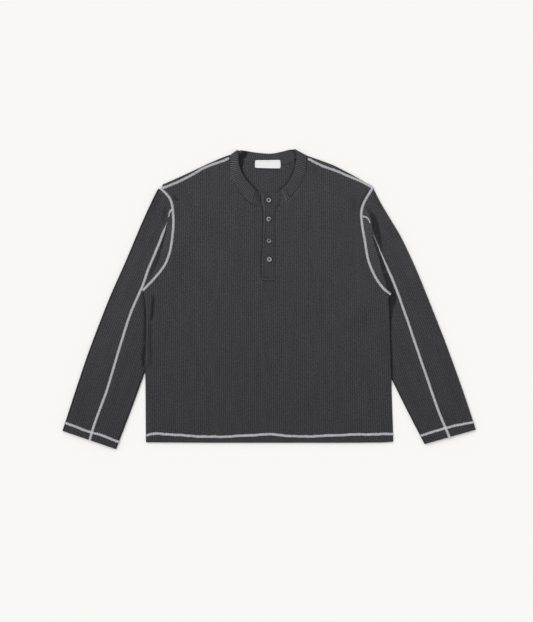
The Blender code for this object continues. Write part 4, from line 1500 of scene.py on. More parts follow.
@dataclass
class Body:
    """The front and back panels."""

    knit: Material
    ribs: BodyRibs = field(default_factory=BodyRibs)
    row_step: float = 10.0
    side_round: float = 7.0
    side_low: float = 0.9           # height of the side edge's outermost line
    wrap_floor: float = 0.2
    # Soft ridges and troughs; a sixth number is painted shade at the middle, below 0 painted light.
    folds: Sequence[Fold] = (
        Fold(((-276.5, 12), (-278.5, -8), (-279.8, -33), (-284, -56)), -2, 4.4, 4.4, 12, 0.85),
        Fold(((-284, -50), (-285, -82), (-285, -112), (-284, -136), (-289, -168)), -0.8, 4.4, 4.4, 16, 0.45),
        Fold(((-262, 0), (-262, -100), (-266, -200)), 0.7, 13, 16, 60),
        Fold(((-231, 250), (-226, 242.5), (-218, 235.5)), -1.2, 2.4, 2.4, 4, 0.8),
        Fold(((-222, 232), (-220, 214), (-222, 190)), -0.9, 6, 6, 14, 0.16),
        Fold(((212, 252), (206, 228), (204, 200)), -1.3, 9, 6, 18, 0.26),
        Fold(((240, 264), (229, 248), (222, 234), (217, 214)), -0.5, 3, 3.4, 8, 0.3),
        Fold(((-207, 150), (-213, 80), (-222, 5)), -0.9, 15, 15, 50, 0.11),
        Fold(((-155, 30), (-160, -40), (-170, -110)), 0.6, 9, 12, 40, -0.06),
        Fold(((150, -45), (200, -20), (250, 25)), 0.9, 16, 16, 50, -0.13),
        Fold(((190, -75), (235, -50), (280, -35)), -0.7, 13, 13, 40, 0.10),
        Fold(((84, 324), (100, 312), (122, 306)), -0.8, 9, 9, 14, 0.14),
        Fold(((-28, 72), (-24, 52), (-8, 36)), 0.5, 5, 5, 12, -0.14),
        Fold(((-190, 120), (-120, 60), (-70, -40)), 0.6, 30, 24, 60, -0.03),
        Fold(((60, 190), (120, 120), (180, 90)), 0.7, 26, 34, 60, -0.03),
        Fold(((-150, -120), (-60, -170), (40, -160)), -0.6, 26, 34, 70, 0.03),
        Fold(((90, -20), (130, -130), (120, -250)), 0.6, 30, 26, 70, -0.02),
        Fold(((210, 40), (220, -80), (200, -220)), -0.5, 26, 22, 60, 0.02),
        Fold(((-210, -180), (-190, -260), (-200, -330)), 0.6, 24, 20, 40),
        Fold(((30, 30), (20, -60), (-20, -110)), -0.45, 22, 30, 50, 0.02),
        Fold(NECK_RIDGE, 0.5, 1.4, 1.4, 10, -0.4),
        Fold(SEAM_PAINTED_GLINT, 1, 1.3, 1.3, 8, -1.6),
        Fold(((-78, 264), (-60, 243.5), (-43, 227.5), (-26, 220.5)), -0.4, 1.4, 1.4, 8, 0.4),
        Fold(((-100.5, 330), (-99.5, 319), (-98, 306)), -0.5, 1.5, 1.5, 6, 0.4),
        Fold([(x - 1.3, y) for x, y in PLACKET_EDGE[:-1]], -0.4, 1.5, 1.5, 8, 0.6),
        Fold(((-18.5, 43.2), (-2, 43.8), (14, 43.4)), -0.3, 1.4, 1.4, 4, 0.12),
        Fold(((15.5, 42), (15.5, 120), (15.5, 218)), 0.75, 0.8, 6, 6, -0.1),
    )

    def front_top(self, at: Plan) -> Values:
        """Upper face of the front panel without its ribs.

        Args:
            at: the points.

        Returns:
            Its height at each.
        """
        high = BODY_TOP + rise_of(self.folds, at)
        high += HEM_RISE * smooth((HEM_Y + HEM_DEPTH + 1.5 - at[:, 1]) / 3.0)
        for side, line in SIDE.items():
            rolled = round_over((line.measure(at).inward(side) + SIDE_WRAP) / self.side_round)
            strength = smooth((line.points[0, 1] - at[:, 1]) / 16.0 + 0.25)
            strength = strength * smooth((at[:, 1] - HEM_Y) / 8.0 + 0.4)
            high -= (high - self.side_low) * (1.0 - rolled) * strength
        return high + FRONT_LIFT * lift(at)

    def front_bottom(self, at: Plan) -> Values:
        """Lower face of the front panel, which reaches down round the back's side edge.

        Args:
            at: the points.

        Returns:
            Its height at each.
        """
        low = np.full(len(at), LAYER)
        for side, line in SIDE.items():
            below = (at[:, 1] < line.points[0, 1] - 14.0) & (at[:, 1] > HEM_Y + 5.0)
            step = smooth((line.measure(at).inward(side) - 0.1) / 0.35)
            low = np.where(below, self.wrap_floor + (low - self.wrap_floor) * step, low)
        return low + FRONT_LIFT * lift(at)

    def front_ring(self) -> Plan:
        """Plan outline of the front panel, slit for the placket.

        Returns:
            The outline.
        """
        low_x, high_x = PLACKET_LOW_X + SLIT_LAP, PLACKET_HIGH_X - SLIT_LAP
        foot = PLACKET_FOOT + SLIT_LAP
        out = {side: side_run(side, -SIDE_WRAP) for side in Side}
        for side in Side:
            out[side][0] = SIDE[side].points[0]
            out[side][-1] = (out[side][-1][0], HEM_Y + 3.5)
        right_end = [(out[RIGHT][-1][0] + 0.6, HEM_Y + 0.9)]
        left_end = [(out[LEFT][-1][0] - 0.6, HEM_Y + 2.4)]
        return ring_of(
            out[RIGHT], right_end, spline(HEM[1:-1], 12.0), left_end, out[LEFT][::-1],
            spline(ARMHOLE[LEFT])[::-1], spline(SHOULDER[LEFT])[::-1], spline(NECK[LEFT], 4.0),
            [(high_x, SLIT_TOP), (high_x, foot), (low_x, foot), (low_x, SLIT_TOP)],
            spline(NECK[RIGHT], 4.0)[::-1], spline(SHOULDER[RIGHT]), spline(ARMHOLE[RIGHT]),
        )

    def front(self) -> Cut:
        """Build the front panel.

        Returns:
            The panel.
        """
        ring = self.front_ring()
        lines = self.ribs.lines((-303.0, HEM_Y - 4.0), (298.0, 345.0), self.row_step)
        hem_rows = [np.array([(-310.0, HEM_Y + HEM_DEPTH + d), (310.0, HEM_Y + HEM_DEPTH + d)])
                    for d in (-1.5, 1.5)]
        wraps = [offset(line.points[2:-1], -side.value * d)
                 for side, line in SIDE.items() for d in (0.1, 0.45)]
        wall = Wall(
            ring, self.front_top, self.front_bottom, self.ribs.numbers, pressed,
            lines + hem_rows + fine_lines(self.folds), None, wraps,
            lattice((-320.0, -350.0), (320.0, 60.0), 12.0),
            lambda at: painted_shade_of(self.folds, at),
        )
        piece = knitted(wall.cloth(), "front_panel", self.knit, "body_front")
        return Cut(piece, ring, ["back_panel"])

    def back_top(self, at: Plan) -> Values:
        """Upper face of the back panel, thick where it folds over at the shoulders.

        Args:
            at: the points.

        Returns:
            Its height at each.
        """
        high = np.full(len(at), WALL)
        for side in Side:
            seam, fold = Line(SHOULDER[side]), Line(SHOULDER_FOLD[side])
            near = seam.measure(at)
            ends = np.minimum(near.along, seam.length - near.along)
            within = (ends > 1e-6) & (near.side == side.value)
            crown = 1.6 + (BODY_TOP + 0.2 - 1.6) * round_over(fold.distance(at) / 3.2)
            rise = smooth((near.distance - 0.3) / 0.6) * smooth((ends - 1.0) / 8.0)
            high = np.where(within, WALL + (crown - WALL) * rise, high)
        return high + lift(at)

    def back_raised(self, at: Plan) -> Values:
        """Ribs show inside the neck and on the shoulder folds."""
        return pressed(at) * smooth((at[:, 1] - 190.0) / 12.0)

    def back(self) -> Cut:
        """Build the back panel.

        Returns:
            The panel.
        """
        ring = ring_of(
            side_run(RIGHT, BACK_INSET),
            spline(HEM[1:-1], 12.0) + np.array([0.0, BACK_INSET]),
            side_run(LEFT, BACK_INSET)[::-1],
            spline(ARMHOLE[LEFT])[::-1], spline(SHOULDER_FOLD[LEFT])[::-1],
            offset(spline(COLLAR_SEAM_BACK[1:-1], 4.0), -0.12)[::-1],
            spline(SHOULDER_FOLD[RIGHT]), spline(ARMHOLE[RIGHT]),
        )
        lines = self.ribs.lines((-100.0, 200.0), (98.0, 350.0), 8.0)
        for low_x, high_x in ((-262.0, -96.0), (93.0, 250.0)):
            lines += self.ribs.lines((low_x, 255.0), (high_x, 350.0), 2.4)
        lines += fine_lines(NECK_PAINTED_SHADE)
        spots = lattice((-320.0, -350.0), (320.0, 60.0), 12.0)
        wall = Wall(ring, self.back_top, lift, self.ribs.numbers, self.back_raised, lines, spots,
                    (), spots, lambda at: painted_shade_of(NECK_PAINTED_SHADE, at), edge_rows=(0.6, 1.6, 3.0))
        piece = knitted(wall.cloth(), "back_panel", self.knit, "body_back")
        return Cut(piece, ring, ["floor"])


@dataclass
class Sleeve:
    """One sleeve, pivoted down beside the body and folded over its own underarm."""

    side: Side
    knit: Material
    folds: Sequence[Fold]
    creases: Sequence[Fold]
    soft: float = 16.0              # rise from the body to the crest
    rim_round: float = 11.0
    rim_low: float = 2.1            # height of the folded edges' outermost line
    rim_painted_shade: Row = (0.0, 0.6)     # painted shade along the outer and the inner edge
    rim_width: float = 4.8
    strip_painted_light: Row = (0.08, 0.36)     # painted light on the crosswise strip, low down and at its top
    strip_painted_ribs: float = 0.35        # painted shade and light that make its ribs stand out more
    cut_size: Row = (330.0, 690.0)

    def __post_init__(self) -> None:
        """Make the sleeve's measuring lines."""
        self.away = self.side.value
        self.outer = Line(OUTER[self.side])
        self.inner = Line(INNER[self.side])
        self.armhole = Line(ARMHOLE[self.side])
        self.crease_line = Line(CREASE[self.side])
        beside = side_run(self.side)
        self.body_side = Line(beside[beside[:, 1] > -200.0])
        self.cuff = Line(np.array([OUTER[self.side][-1], INNER[self.side][0]]))
        self.underarm_y, self.notch_y = ARMHOLE[self.side][-1][1], INNER[self.side][-1][1]
        angle = math.radians(STRIP_ANGLE[self.side])
        self.strip_way = np.array([math.cos(angle), math.sin(angle)])
        self.strip_across = np.array([-self.strip_way[1], self.strip_way[0]])

    def side_x(self, y: Values) -> Values:
        """Where the body's side edge is at each height."""
        rows = np.array(SIDE_ROWS[self.side], float)[::-1]
        return np.interp(y, rows[:, 1], rows[:, 0])

    def in_strip(self, at: Plan) -> Values:
        """True beside the armhole, where the cloth lies crosswise."""
        near = self.crease_line.measure(at)
        return (near.side != self.away) & (at[:, 1] < CREASE[self.side][0][1]) & (at[:, 1] > 0.0)

    def covered(self, at: Plan) -> Values:
        """True under the body."""
        x, y = at.T
        return (y > self.notch_y) & (y < self.underarm_y) & ((x - self.side_x(y)) * self.away < 0.0)

    def top(self, at: Plan) -> Values:
        """Upper face without its ribs.

        Args:
            at: the points.

        Returns:
            Its height at each.
        """
        y = at[:, 1]
        arm, beside = self.armhole.measure(at), self.body_side.measure(at)
        feet = places_on(self.armhole.points, arm.along)
        start_arm = SLEEVE_FLAT + lift(feet)
        raised = smooth((self.underarm_y - beside.along - 2.0) / (self.underarm_y - 2.0))
        start_side = SLEEVE_FLAT + TUCK_LIFT * raised
        start = np.where(arm.distance <= beside.distance, start_arm, start_side)
        from_body = np.minimum(arm.distance, beside.distance)
        height = start + (SLEEVE_CREST - start) * smooth(from_body / self.soft)
        to_inner, to_outer = self.inner.distance(at), self.outer.distance(at)
        free = self.rim_low + (SLEEVE_CREST - self.rim_low) * round_over(to_inner / 9.0)
        height = height + (free - height) * smooth((self.notch_y - y) / 40.0 + 0.35)
        height = height + smooth(to_outer / 18.0) * smooth(from_body / 8.0) * rise_of(self.folds, at)
        creased = rise_of(self.creases, at) * smooth((from_body + 0.4) / 2.6)
        height = np.maximum(height + creased, WALL + 1.0)
        rim = self.rim_low + (height - self.rim_low) * round_over(to_outer / self.rim_round)
        turned = smooth((HEM_DEPTH + 1.5 - self.cuff.distance(at)) / 3.0) * smooth(to_outer / 6.0)
        return np.where(self.covered(at), SLEEVE_FLAT, rim + HEM_RISE * turned)

    def bottom(self, at: Plan) -> Values:
        """Lower face, flat but for the rounded folds at both edges."""
        to_fold = np.minimum(self.outer.distance(at), self.inner.distance(at))
        return 1.3 * (1.0 - round_over(to_fold / 3.0))

    def raised(self, at: Plan) -> Values:
        """Ribs fade out under the body and at the line where the strip begins.

        Args:
            at: the points.

        Returns:
            The share of a rib's height at each.
        """
        turn = smooth(self.crease_line.distance(at) / 1.6)
        from_body = np.minimum(self.armhole.distance(at), self.body_side.distance(at))
        return np.where(self.covered(at), 0.0, turn * pressed(at) * smooth(from_body / 3.0))

    def numbers(self, at: Plan) -> np.ndarray:
        """Rib number and place along the rib, by the outer fold or crosswise in the strip.

        Args:
            at: the points.

        Returns:
            Two numbers for each point.
        """
        near = self.outer.measure(at)
        main = np.column_stack([near.inward(self.side) / RIB_PITCH, near.along])
        strip = np.column_stack([at @ self.strip_across / RIB_PITCH, at @ self.strip_way])
        return np.where(self.in_strip(at)[:, None], strip, main)

    def rib_lines(self) -> list[Plan]:
        """Mesh lines along the ribs of both parts, each kept to its own side of the crease.

        Returns:
            The lines.
        """
        rows = even(self.outer.points, round(self.outer.length / 9.0))
        first, last = 2 * rows[0] - rows[1], 2 * rows[-1] - rows[-2]
        reach = np.vstack([first + 3 * (first - rows[0]), first, rows, last])
        out = []
        for k in range(1, 28 * LINES_PER_RIB):
            line = offset(reach, -self.away * RIB_PITCH * k / LINES_PER_RIB)
            out += split_line(line, ~self.in_strip(line))
        corners = self.crease_line.points
        places = corners @ self.strip_across
        low, high = places.min() - 30.0, places.max() + 30.0
        spacing = RIB_PITCH / LINES_PER_RIB
        middle = corners.mean(axis=0) @ self.strip_way
        steps = np.arange(middle - 60.0, middle + 60.0, 4.0)[:, None]
        for k in range(math.ceil(low / spacing), math.floor(high / spacing)):
            line = steps * self.strip_way + k * spacing * self.strip_across
            out += split_line(line, self.in_strip(line))
        return out

    def ring(self) -> Plan:
        """Plan outline from the shoulder down the outer fold and back up.

        Returns:
            The outline.
        """
        beside = [(float(self.side_x(np.array([y]))[0]) + self.away * 0.5, y)
                  for y in (0.1 * self.underarm_y, 0.55 * self.underarm_y)]
        seam = offset(spline(ARMHOLE[self.side], 8.0)[::-1], -self.away * 0.35)
        self.open_armhole = Line(seam)
        return ring_of(spline(OUTER[self.side], 9.0), even(self.cuff.points, 24),
                       spline(INNER[self.side], 14.0), spline(TUCK[self.side], 9.0)[:-1], beside, seam)

    def build(self) -> Cut:
        """Build the sleeve.

        Returns:
            The sleeve.
        """
        ring = self.ring()
        lines = self.rib_lines()
        lines += [offset(self.cuff.points, self.away * d) for d in (-HEM_DEPTH - 1.5, -HEM_DEPTH + 1.5)]
        lines.append(self.crease_line.points)
        lines += fine_lines(self.creases)
        folds = [offset(line.points, -self.away * d)
                 for line in (self.outer, self.inner) for d in (1.0, 3.0)]
        wall = Wall(ring, self.top, self.bottom, self.numbers, self.raised, lines,
                    under_lines=folds, under_spots=lattice((-500.0, -360.0), (500.0, 270.0), 24.0),
                    crease=self.painted_shade_at, edge_drop=0.3, edge_rows=(0.8, 2.4, 5.0),
                    open_edges=(self.cuff, self.open_armhole))
        name = "sleeve_" + self.side.name.lower()
        piece = knitted(wall.cloth(), name + "_cloth", self.knit, name)
        return Cut(piece, ring, ["floor"], 2, self.cut_size)

    def painted_shade_at(self, at: Plan) -> Values:
        """How much painted shade each point gets: in the creases and folds, along both folded edges, and
        painted light on the crosswise strip.

        Args:
            at: the points.

        Returns:
            The painted shade at each, below 0 where it is painted light.
        """
        rims = sum(shade * smooth((self.rim_width - line.distance(at)) / 2.2)
                   for shade, line in zip(self.rim_painted_shade, (self.outer, self.inner)))
        # Painted light on the crosswise strip, weaker where painted shade falls.
        across = self.numbers(at)[:, 0] % 1.0
        light = np.interp(at[:, 1], (50.0, 175.0), self.strip_painted_light)
        light += self.strip_painted_ribs * (0.5 - np.abs(2.0 * across - 1.0))
        shade = painted_shade_of((*self.folds, *self.creases), at)
        light *= self.in_strip(at) * smooth(self.armhole.distance(at) / 2.0) * (1.0 - smooth(shade / 0.5))
        return np.clip(shade + rims - light, -0.6, 1.0)


# Soft folds of the sleeves; a sixth number is painted shade, below 0 painted light.
RIGHT_SLEEVE_FOLDS = (
    Fold(((-295, 160), (-350, 12), (-411, -150), (-440, -230)), 0.9, 26, 20, 90, -0.11),
    Fold(((-330, -110), (-362, -210), (-392, -290)), -0.7, 20, 20, 60, 0.04),
    Fold(((-262, 246), (-268, 225), (-280, 196)), -0.7, 8, 10, 16, 0.10),
    Fold(((-300, 60), (-316, 20), (-322, -24)), -0.6, 10, 12, 30, 0.05),
    Fold(((-258, 260), (-277, 221), (-301, 174)), -0.3, 8, 8, 20, 0.2),
    Fold(((-440, -255), (-452, -280), (-430, -300)), -0.4, 14, 14, 16, 0.05),
)
LEFT_SLEEVE_FOLDS = (
    Fold(((296, 170), (330, 100), (366, 10)), 0.8, 20, 18, 60, -0.10),
    Fold(((248, 258), (264, 234), (280, 208)), -0.3, 7, 7, 12, 0.16),
    Fold(((345, 40), (372, -10), (392, -60)), -0.6, 12, 14, 30, 0.04),
    Fold(((396, -20), (430, -130), (458, -230)), -0.7, 18, 18, 70, 0.03),
    Fold(((340, -150), (366, -220), (388, -290)), 0.6, 16, 16, 50, -0.02),
    Fold(((408, -250), (430, -285), (462, -296)), -0.4, 14, 14, 16, 0.04),
)
# Creases and hollows of the sleeves, and the gap beside the body; the last number is painted shade.
RIGHT_SLEEVE_CREASES = (
    Fold(CREASE[RIGHT], -1.7, 1.8, 3.2, 26, 0.50),
    Fold(((-250, 158), (-262.5, 122), (-277, 86), (-295, 45)), -0.5, 4.5, 3, 24, 0.24),
    Fold(((-249, 222), (-251, 205), (-255.5, 183)), -1, 4.5, 4, 10, 0.48),
    Fold(((-278, 160), (-283, 140), (-290, 118)), -0.5, 5, 5, 16, 0.16),
    Fold(((-306.5, 17), (-300.5, 8), (-297, -8), (-296.5, -40), (-297.5, -80), (-298.5, -110)), -1.6, 3.5,
         3.4, 10, 0.74),
    Fold(((-298.5, -104), (-300, -126), (-301.5, -143), (-300.5, -168)), -1.8, 4, 4.4, 10, 0.84),
)
LEFT_SLEEVE_CREASES = (
    Hollow(((234, 214), (243, 199.2), (245.6, 182.6), (247.6, 168), (251.6, 157), (260.5, 138.5),
         (272, 115), (270.4, 136.6), (266.9, 158.6), (263.1, 178.1), (257.4, 194.7), (249.5, 205),
         (241, 212)), -2, 4.2, 4.2, 0, 0.74),
    Hollow(((246.6, 151.5), (253.6, 129.1), (259.1, 110.6), (265.6, 90.5), (269.4, 72), (274.8, 54.5),
         (279.2, 40), (282, 26), (280, 4.6), (280, -26), (284, -50), (293.2, -50), (297, -26), (303, -10.3),
         (306.4, 5.3), (302, 20.2), (294.6, 37), (285.5, 61), (276.1, 83), (268.9, 101.5), (261.5, 120),
         (252.8, 142)), -2, 3.6, 3.6, 0, 0.70),
    Hollow(((287, 12), (280, 4.6), (280, -36), (291, -40), (301, -14), (305, 5.3), (300, 20), (292, 34)),
         -1.4, 3, 3, 0, 0.10),
    Fold(((290.5, -38), (290, -60), (290, -86), (291.2, -110), (292.6, -140), (293.8, -168), (293.4, -200)),
         -2.4, 3.1, 3.1, 6, 0.97),
)


def split_line(line: Plan, keep: np.ndarray) -> list[Plan]:
    """The stretches of a line whose points are kept.

    Args:
        line: the line.
        keep: true for each point that stays.

    Returns:
        The stretches.
    """
    runs = [[]]
    for point, kept in zip(line, keep):
        if kept:
            runs[-1].append(point)
        elif runs[-1]:
            runs.append([])
    return [np.array(run) for run in runs if len(run) > 1]


@dataclass(frozen=True)
class Section:
    """One section across the collar's band, from its seam to its edge."""

    plan: Plan
    outside: Values         # heights
    inside: Values
    face: float             # how much its ribs show, on the inside where below 0
    rib: float              # number of the rib from the start of its run
    bulge: Values = field(default_factory=lambda: np.zeros(2))      # way out of a shoulder fold


@dataclass
class Collar:
    """The rib band round the neck: one closed strip, folded back at both shoulders."""

    knit: Material
    sections: int = 6               # mesh sections for each rib
    wall: float = 2.4
    seam_top: float = 4.3
    fold_top: float = 4.9
    edge_top: float = 7.8
    back_top: float = 1.7
    lowest: float = 1.9             # of a front half's inside
    fold_reach: float = 2.2         # how far a shoulder fold bulges past its hinge
    inner_reach: float = 0.3        # how far its inside does
    stand_from: float = 0.35
    rib_height: float = 1.05
    pitch: float = 4.35             # of the ribs, half way across the band
    across: tuple[float, ...] = (0.0, 0.03, 0.08, 0.16, 0.3, 0.5, 0.7, 0.84, 0.92, 0.97, 1.0)
    # Ridges and grooves at the collar's ends; the last number is painted shade, below 0 painted light.
    ridges: Sequence[Fold] = (
        Fold(((29.8, 264), (36.4, 252), (43.6, 238.4)), 0.9, 1.2, 1.2, 4, -0.4),
        Fold(((33, 263.6), (39, 252.4), (45, 241)), -0.3, 0.9, 0.9, 3, 0.25),
        Fold(((35.8, 264), (42, 252), (47.6, 240.6)), 0.3, 1, 1, 3, -0.25),
        Fold(((39.4, 265), (45.4, 252), (50.4, 243)), -0.7, 1.5, 1.5, 4, 0.5),
        Fold(((-32, 261.5), (-28.5, 254), (-27, 246)), -0.4, 2.2, 2.2, 4, 0.45),
    )
    # Painted shade on the plain ends, and painted light along the seam and in a few places on the right.
    tones: Sequence[Fold] = (
        Hollow(((20, 222), (45, 236), (30.5, 266), (18, 262)), 0, 2.4, 2.4, 0, 0.46),
        Hollow(((-42, 222), (-34, 262), (-21, 256), (-19, 214)), 0, 3, 3, 0, 0.54),
        Fold(((-26.5, 250), (-25, 238), (-22.6, 224)), 0, 3.6, 3.6, 6, 0.26),
        Fold(((-36, 244), (-33.6, 236), (-32, 228)), 0, 2, 2, 5, -0.2),
        Fold(((-31, 257.5), (-29.4, 249), (-28.6, 240)), 0, 1.5, 1.5, 3, 0.5),
        Fold(((84.6, 296), (75.8, 276), (66, 261), (57.4, 249.6)), 0, 1, 1, 8, -1.2),
        Fold(((57.4, 249.6), (45.4, 237.6), (37, 231), (23.4, 226.8)), 0, 1, 1, 6, -0.6),
        Fold(((82.6, 297), (73, 275.6), (63.6, 261), (55.2, 249.6), (46, 240.2)), 0, 1.2, 1.2, 8, 0.45),
        Hollow(((-97, 343), (-86, 352), (-77, 350), (-76, 326), (-80, 306), (-92, 312), (-96, 326)),
               0, 8, 8, 0, -0.28),
        Fold(((-93.5, 322), (-91.8, 306), (-84.8, 285.8), (-78.6, 274)), 0, 1.4, 1.4, 8, -0.5),
    )

    def half(self, side: Side) -> list[Section]:
        """Sections of one front half, from its shoulder fold to the placket; plain at that end.

        Args:
            side: which side.

        Returns:
            The sections.
        """
        away = side.value
        seam = offset(spline((COLLAR_FOLD[side], *NECK[side][1:]), 4.0), -away * 0.45)
        edge = spline(COLLAR_EDGE[side], 4.0)
        pairs = np.array(COLLAR_PAIRS[side])
        reach = 0.5 * pairs @ np.array([line_length(seam), line_length(edge)])
        count = round(reach[-2] / self.pitch) * self.sections
        steps = np.append(np.linspace(0.0, reach[-2], count + 1), reach[-1] * np.array([0.95, 1.0]))
        fine_seam, fine_edge = even(seam, 600), even(edge, 600)
        t = np.array(self.across)
        out = []
        for k, step in enumerate(steps):
            along, inward = (np.interp(step, reach, pairs[:, i]) for i in (0, 1))
            stand = self.fold_top + (self.edge_top - self.fold_top) * float(smooth(along / self.stand_from))
            outer, inner = self.tucked(side, fine_seam[round(along * 600)], fine_edge[round(inward * 600)],
                                       along * line_length(seam))
            plan = outer + t[:, None] * (inner - outer)
            top = self.seam_top + (stand - self.seam_top) * t + 0.5 * np.sin(math.pi * t)
            half = 0.5 * self.wall * round_over(np.minimum(t, 1.0 - t) / 0.07 + 0.12)
            middle = top - 0.5 * self.wall + rise_of(self.ridges, plan)
            ribbed = float(smooth(np.array((reach[-2] - step) / 3.0)))
            out.append(Section(plan, middle + half, np.maximum(middle - half, self.lowest), ribbed,
                               min(k, count) / self.sections))
        return out

    def tucked(self, side: Side, outer: np.ndarray, inner: np.ndarray, past: float
               ) -> tuple[np.ndarray, np.ndarray]:
        """Move a section in from the shoulder fold by the room that the fold takes."""
        shift = -self.fold_reach * float(smooth(np.array(1.0 - past / 16.0))) * self.hinge(side)
        return outer + shift, inner + shift

    def hinge(self, side: Side) -> np.ndarray:
        """Unit vector out of the collar, square to a shoulder fold.

        Args:
            side: which side.

        Returns:
            The vector.
        """
        start, end = np.array(COLLAR_FOLD[side]), np.array(COLLAR_EDGE[side][0])
        way = (end - start) / np.linalg.norm(end - start)
        return np.array([side.value * abs(way[1]), abs(way[0])])

    def back(self) -> list[Section]:
        """Sections of the back, from the right shoulder's fold to the left one's; its inside shows.

        Returns:
            The sections.
        """
        seam, edge = spline(COLLAR_SEAM_BACK, 4.0), spline(COLLAR_EDGE_BACK, 4.0)
        length = line_length(seam)
        count = round(length / RIB_PITCH) * self.sections
        t = np.array(self.across)
        out = []
        for k, (outer, inner) in enumerate(zip(even(seam, count), even(edge, count))):
            past = k / count * length
            outer, inner = self.tucked(RIGHT, outer, inner, past)
            outer, inner = self.tucked(LEFT, outer, inner, length - past)
            plan = outer + t[:, None] * (inner - outer)
            round_edge = 0.5 * (1.0 - round_over(np.minimum(t, 1.0 - t) / 0.07))
            out.append(Section(plan, 0.35 * round_edge, self.back_top - round_edge, -1.0,
                               k / self.sections))
        return out

    def fold(self, side: Side, low: Section, high: Section) -> list[Section]:
        """Sections of one shoulder fold, from the back below to the front half above.

        Args:
            side: which side.
            low: the back's end section.
            high: the front half's end section.

        Returns:
            The sections.
        """
        out = []
        turns = np.linspace(-0.5 * math.pi, 0.5 * math.pi, 9)[1:-1]
        for k, turn in enumerate(turns, 1):
            share = 0.5 * (1.0 + math.sin(turn))
            plan, outside, inside = (
                first + share * (last - first) for first, last in
                ((low.plan, high.plan), (low.outside, high.outside), (low.inside, high.inside)))
            out.append(Section(plan, outside, inside, 0.0, k / (len(turns) + 1),
                               math.cos(turn) * self.hinge(side)))
        return out

    def cloth(self) -> Cloth:
        """Chain the sections into one closed strip.

        Returns:
            The strip.
        """
        right, back, left = self.half(RIGHT), self.back(), self.half(LEFT)
        right_fold, left_fold = self.fold(RIGHT, back[0], right[0]), self.fold(LEFT, back[-1], left[0])
        chain = right[::-1] + right_fold[::-1] + back + left_fold + left
        starts = np.cumsum([0.0, right[-1].rib, 1.0, back[-1].rib, 1.0])
        numbers = [starts[1] - section.rib for section in right[::-1]]
        numbers += [starts[2] - section.rib for section in right_fold[::-1]]
        numbers += [starts[n] + section.rib
                    for n, run in ((2, back), (3, left_fold), (4, left)) for section in run]
        t = np.array(self.across)
        plain = smooth(np.minimum(t, 1.0 - t) / 0.08)
        points, ribs, along, raised = [], [], [], []
        for k, section in enumerate(chain):
            ends = min(1.0, 0.25 * k, 0.25 * (len(chain) - 1 - k))
            outer, inner = (section.plan + reach * section.bulge
                            for reach in (self.fold_reach, self.inner_reach))
            points.append(np.column_stack([outer, section.outside]))
            points.append(np.column_stack([inner, section.inside])[::-1])
            ribs.append(np.full(2 * len(t), numbers[k] + 0.5))
            along.append(np.concatenate([t, t[::-1]]) * 29.0)
            shown = (max(way * section.face, 0.0) for way in (1.0, -1.0))
            raised.append(ends * np.concatenate([plain * share for share in shown]))
        places, faces = tube(np.vstack(points).reshape(len(chain), 2 * len(t), 3), False)
        # Painted shade: under the collar from the neck's table, on its outside from its ridges and tones.
        shade = np.where(places[:, 2] < 2.5, painted_shade_of(NECK_PAINTED_SHADE, places[:, :2]),
                         painted_shade_of((*self.ridges, *self.tones), places[:, :2]))
        return Cloth(places, faces, np.concatenate(ribs), np.concatenate(along), np.concatenate(raised),
                     shade)

    def build(self) -> Object:
        """Build the collar.

        Returns:
            The collar.
        """
        piece = knitted(self.cloth(), "collar_rib", self.knit, "collar_band", height=self.rib_height)
        return piece


# Painted shade round the neck: dark hollows under the collar at both shoulders, dark lines along its edges
# and under the label; below 0, painted light.
NECK_PAINTED_SHADE = (
    Hollow(((-27, 249), (-26, 253.6), (-14, 254), (-14, 249)), 0, 2, 2, 0, -0.9),
    Hollow(((-82, 352), (-66.8, 350.4), (-61.5, 358), (-53.4, 356), (-51.5, 349.4), (-55.8, 340.3),
         (-60.2, 335), (-61.5, 325.4), (-65, 312), (-76, 312), (-82, 332.9)), 0, 3.2, 3.2, 0, 0.97),
    Fold(((-69, 322), (-59.6, 294.5), (-50, 280.5), (-35.5, 264.5), (-26, 255.5)), 0, 2.9, 2.9, 5, 0.97),
    Fold(((-54, 353.8), (-41, 351.6), (-27, 350.6)), 0, 1.3, 1.3, 5, 0.6),
    Fold(((12, 350.4), (28, 352.4), (44, 356), (54, 358.4)), 0, 1.2, 1.2, 8, 0.45),
    Hollow(((50, 359.5), (66, 362), (66, 355), (58, 354)), 0, 2, 2, 0, 1),
    Hollow(((57, 358), (70, 362), (70, 342), (62, 345)), 0, 5, 5, 0, 0.7),
    Fold(((64.5, 350), (64, 340), (63.5, 330)), 0, 3.6, 3.6, 3, 0.5),
    Hollow(((59, 336), (70, 338), (70, 322), (61, 324)), 0, 4, 4, 0, 0.6),
    Fold(((63, 328), (57.6, 303.5), (48.6, 286), (40.6, 275.5), (31, 266)), 0, 2, 2, 6, 0.6),
    Fold(((24.5, 269.5), (27.6, 264), (29, 257)), 0, 2.6, 2.6, 3, 0.75),
    Fold(((-33.5, 311.8), (-3, 311.4), (26.5, 311.6)), 0, 1.5, 1.5, 3, 0.55),
    Fold(((29, 322), (45.8, 325.8), (58, 330.4)), 0, 1.3, 1.3, 4, 0.6),
    Fold(((29, 326), (45.8, 329.8), (58, 334.4)), 0, 1.3, 1.3, 4, -0.4),
    Fold(((40, 333.6), (50, 335.4), (60, 338.6)), 0, 1.2, 1.2, 4, 0.4),
)


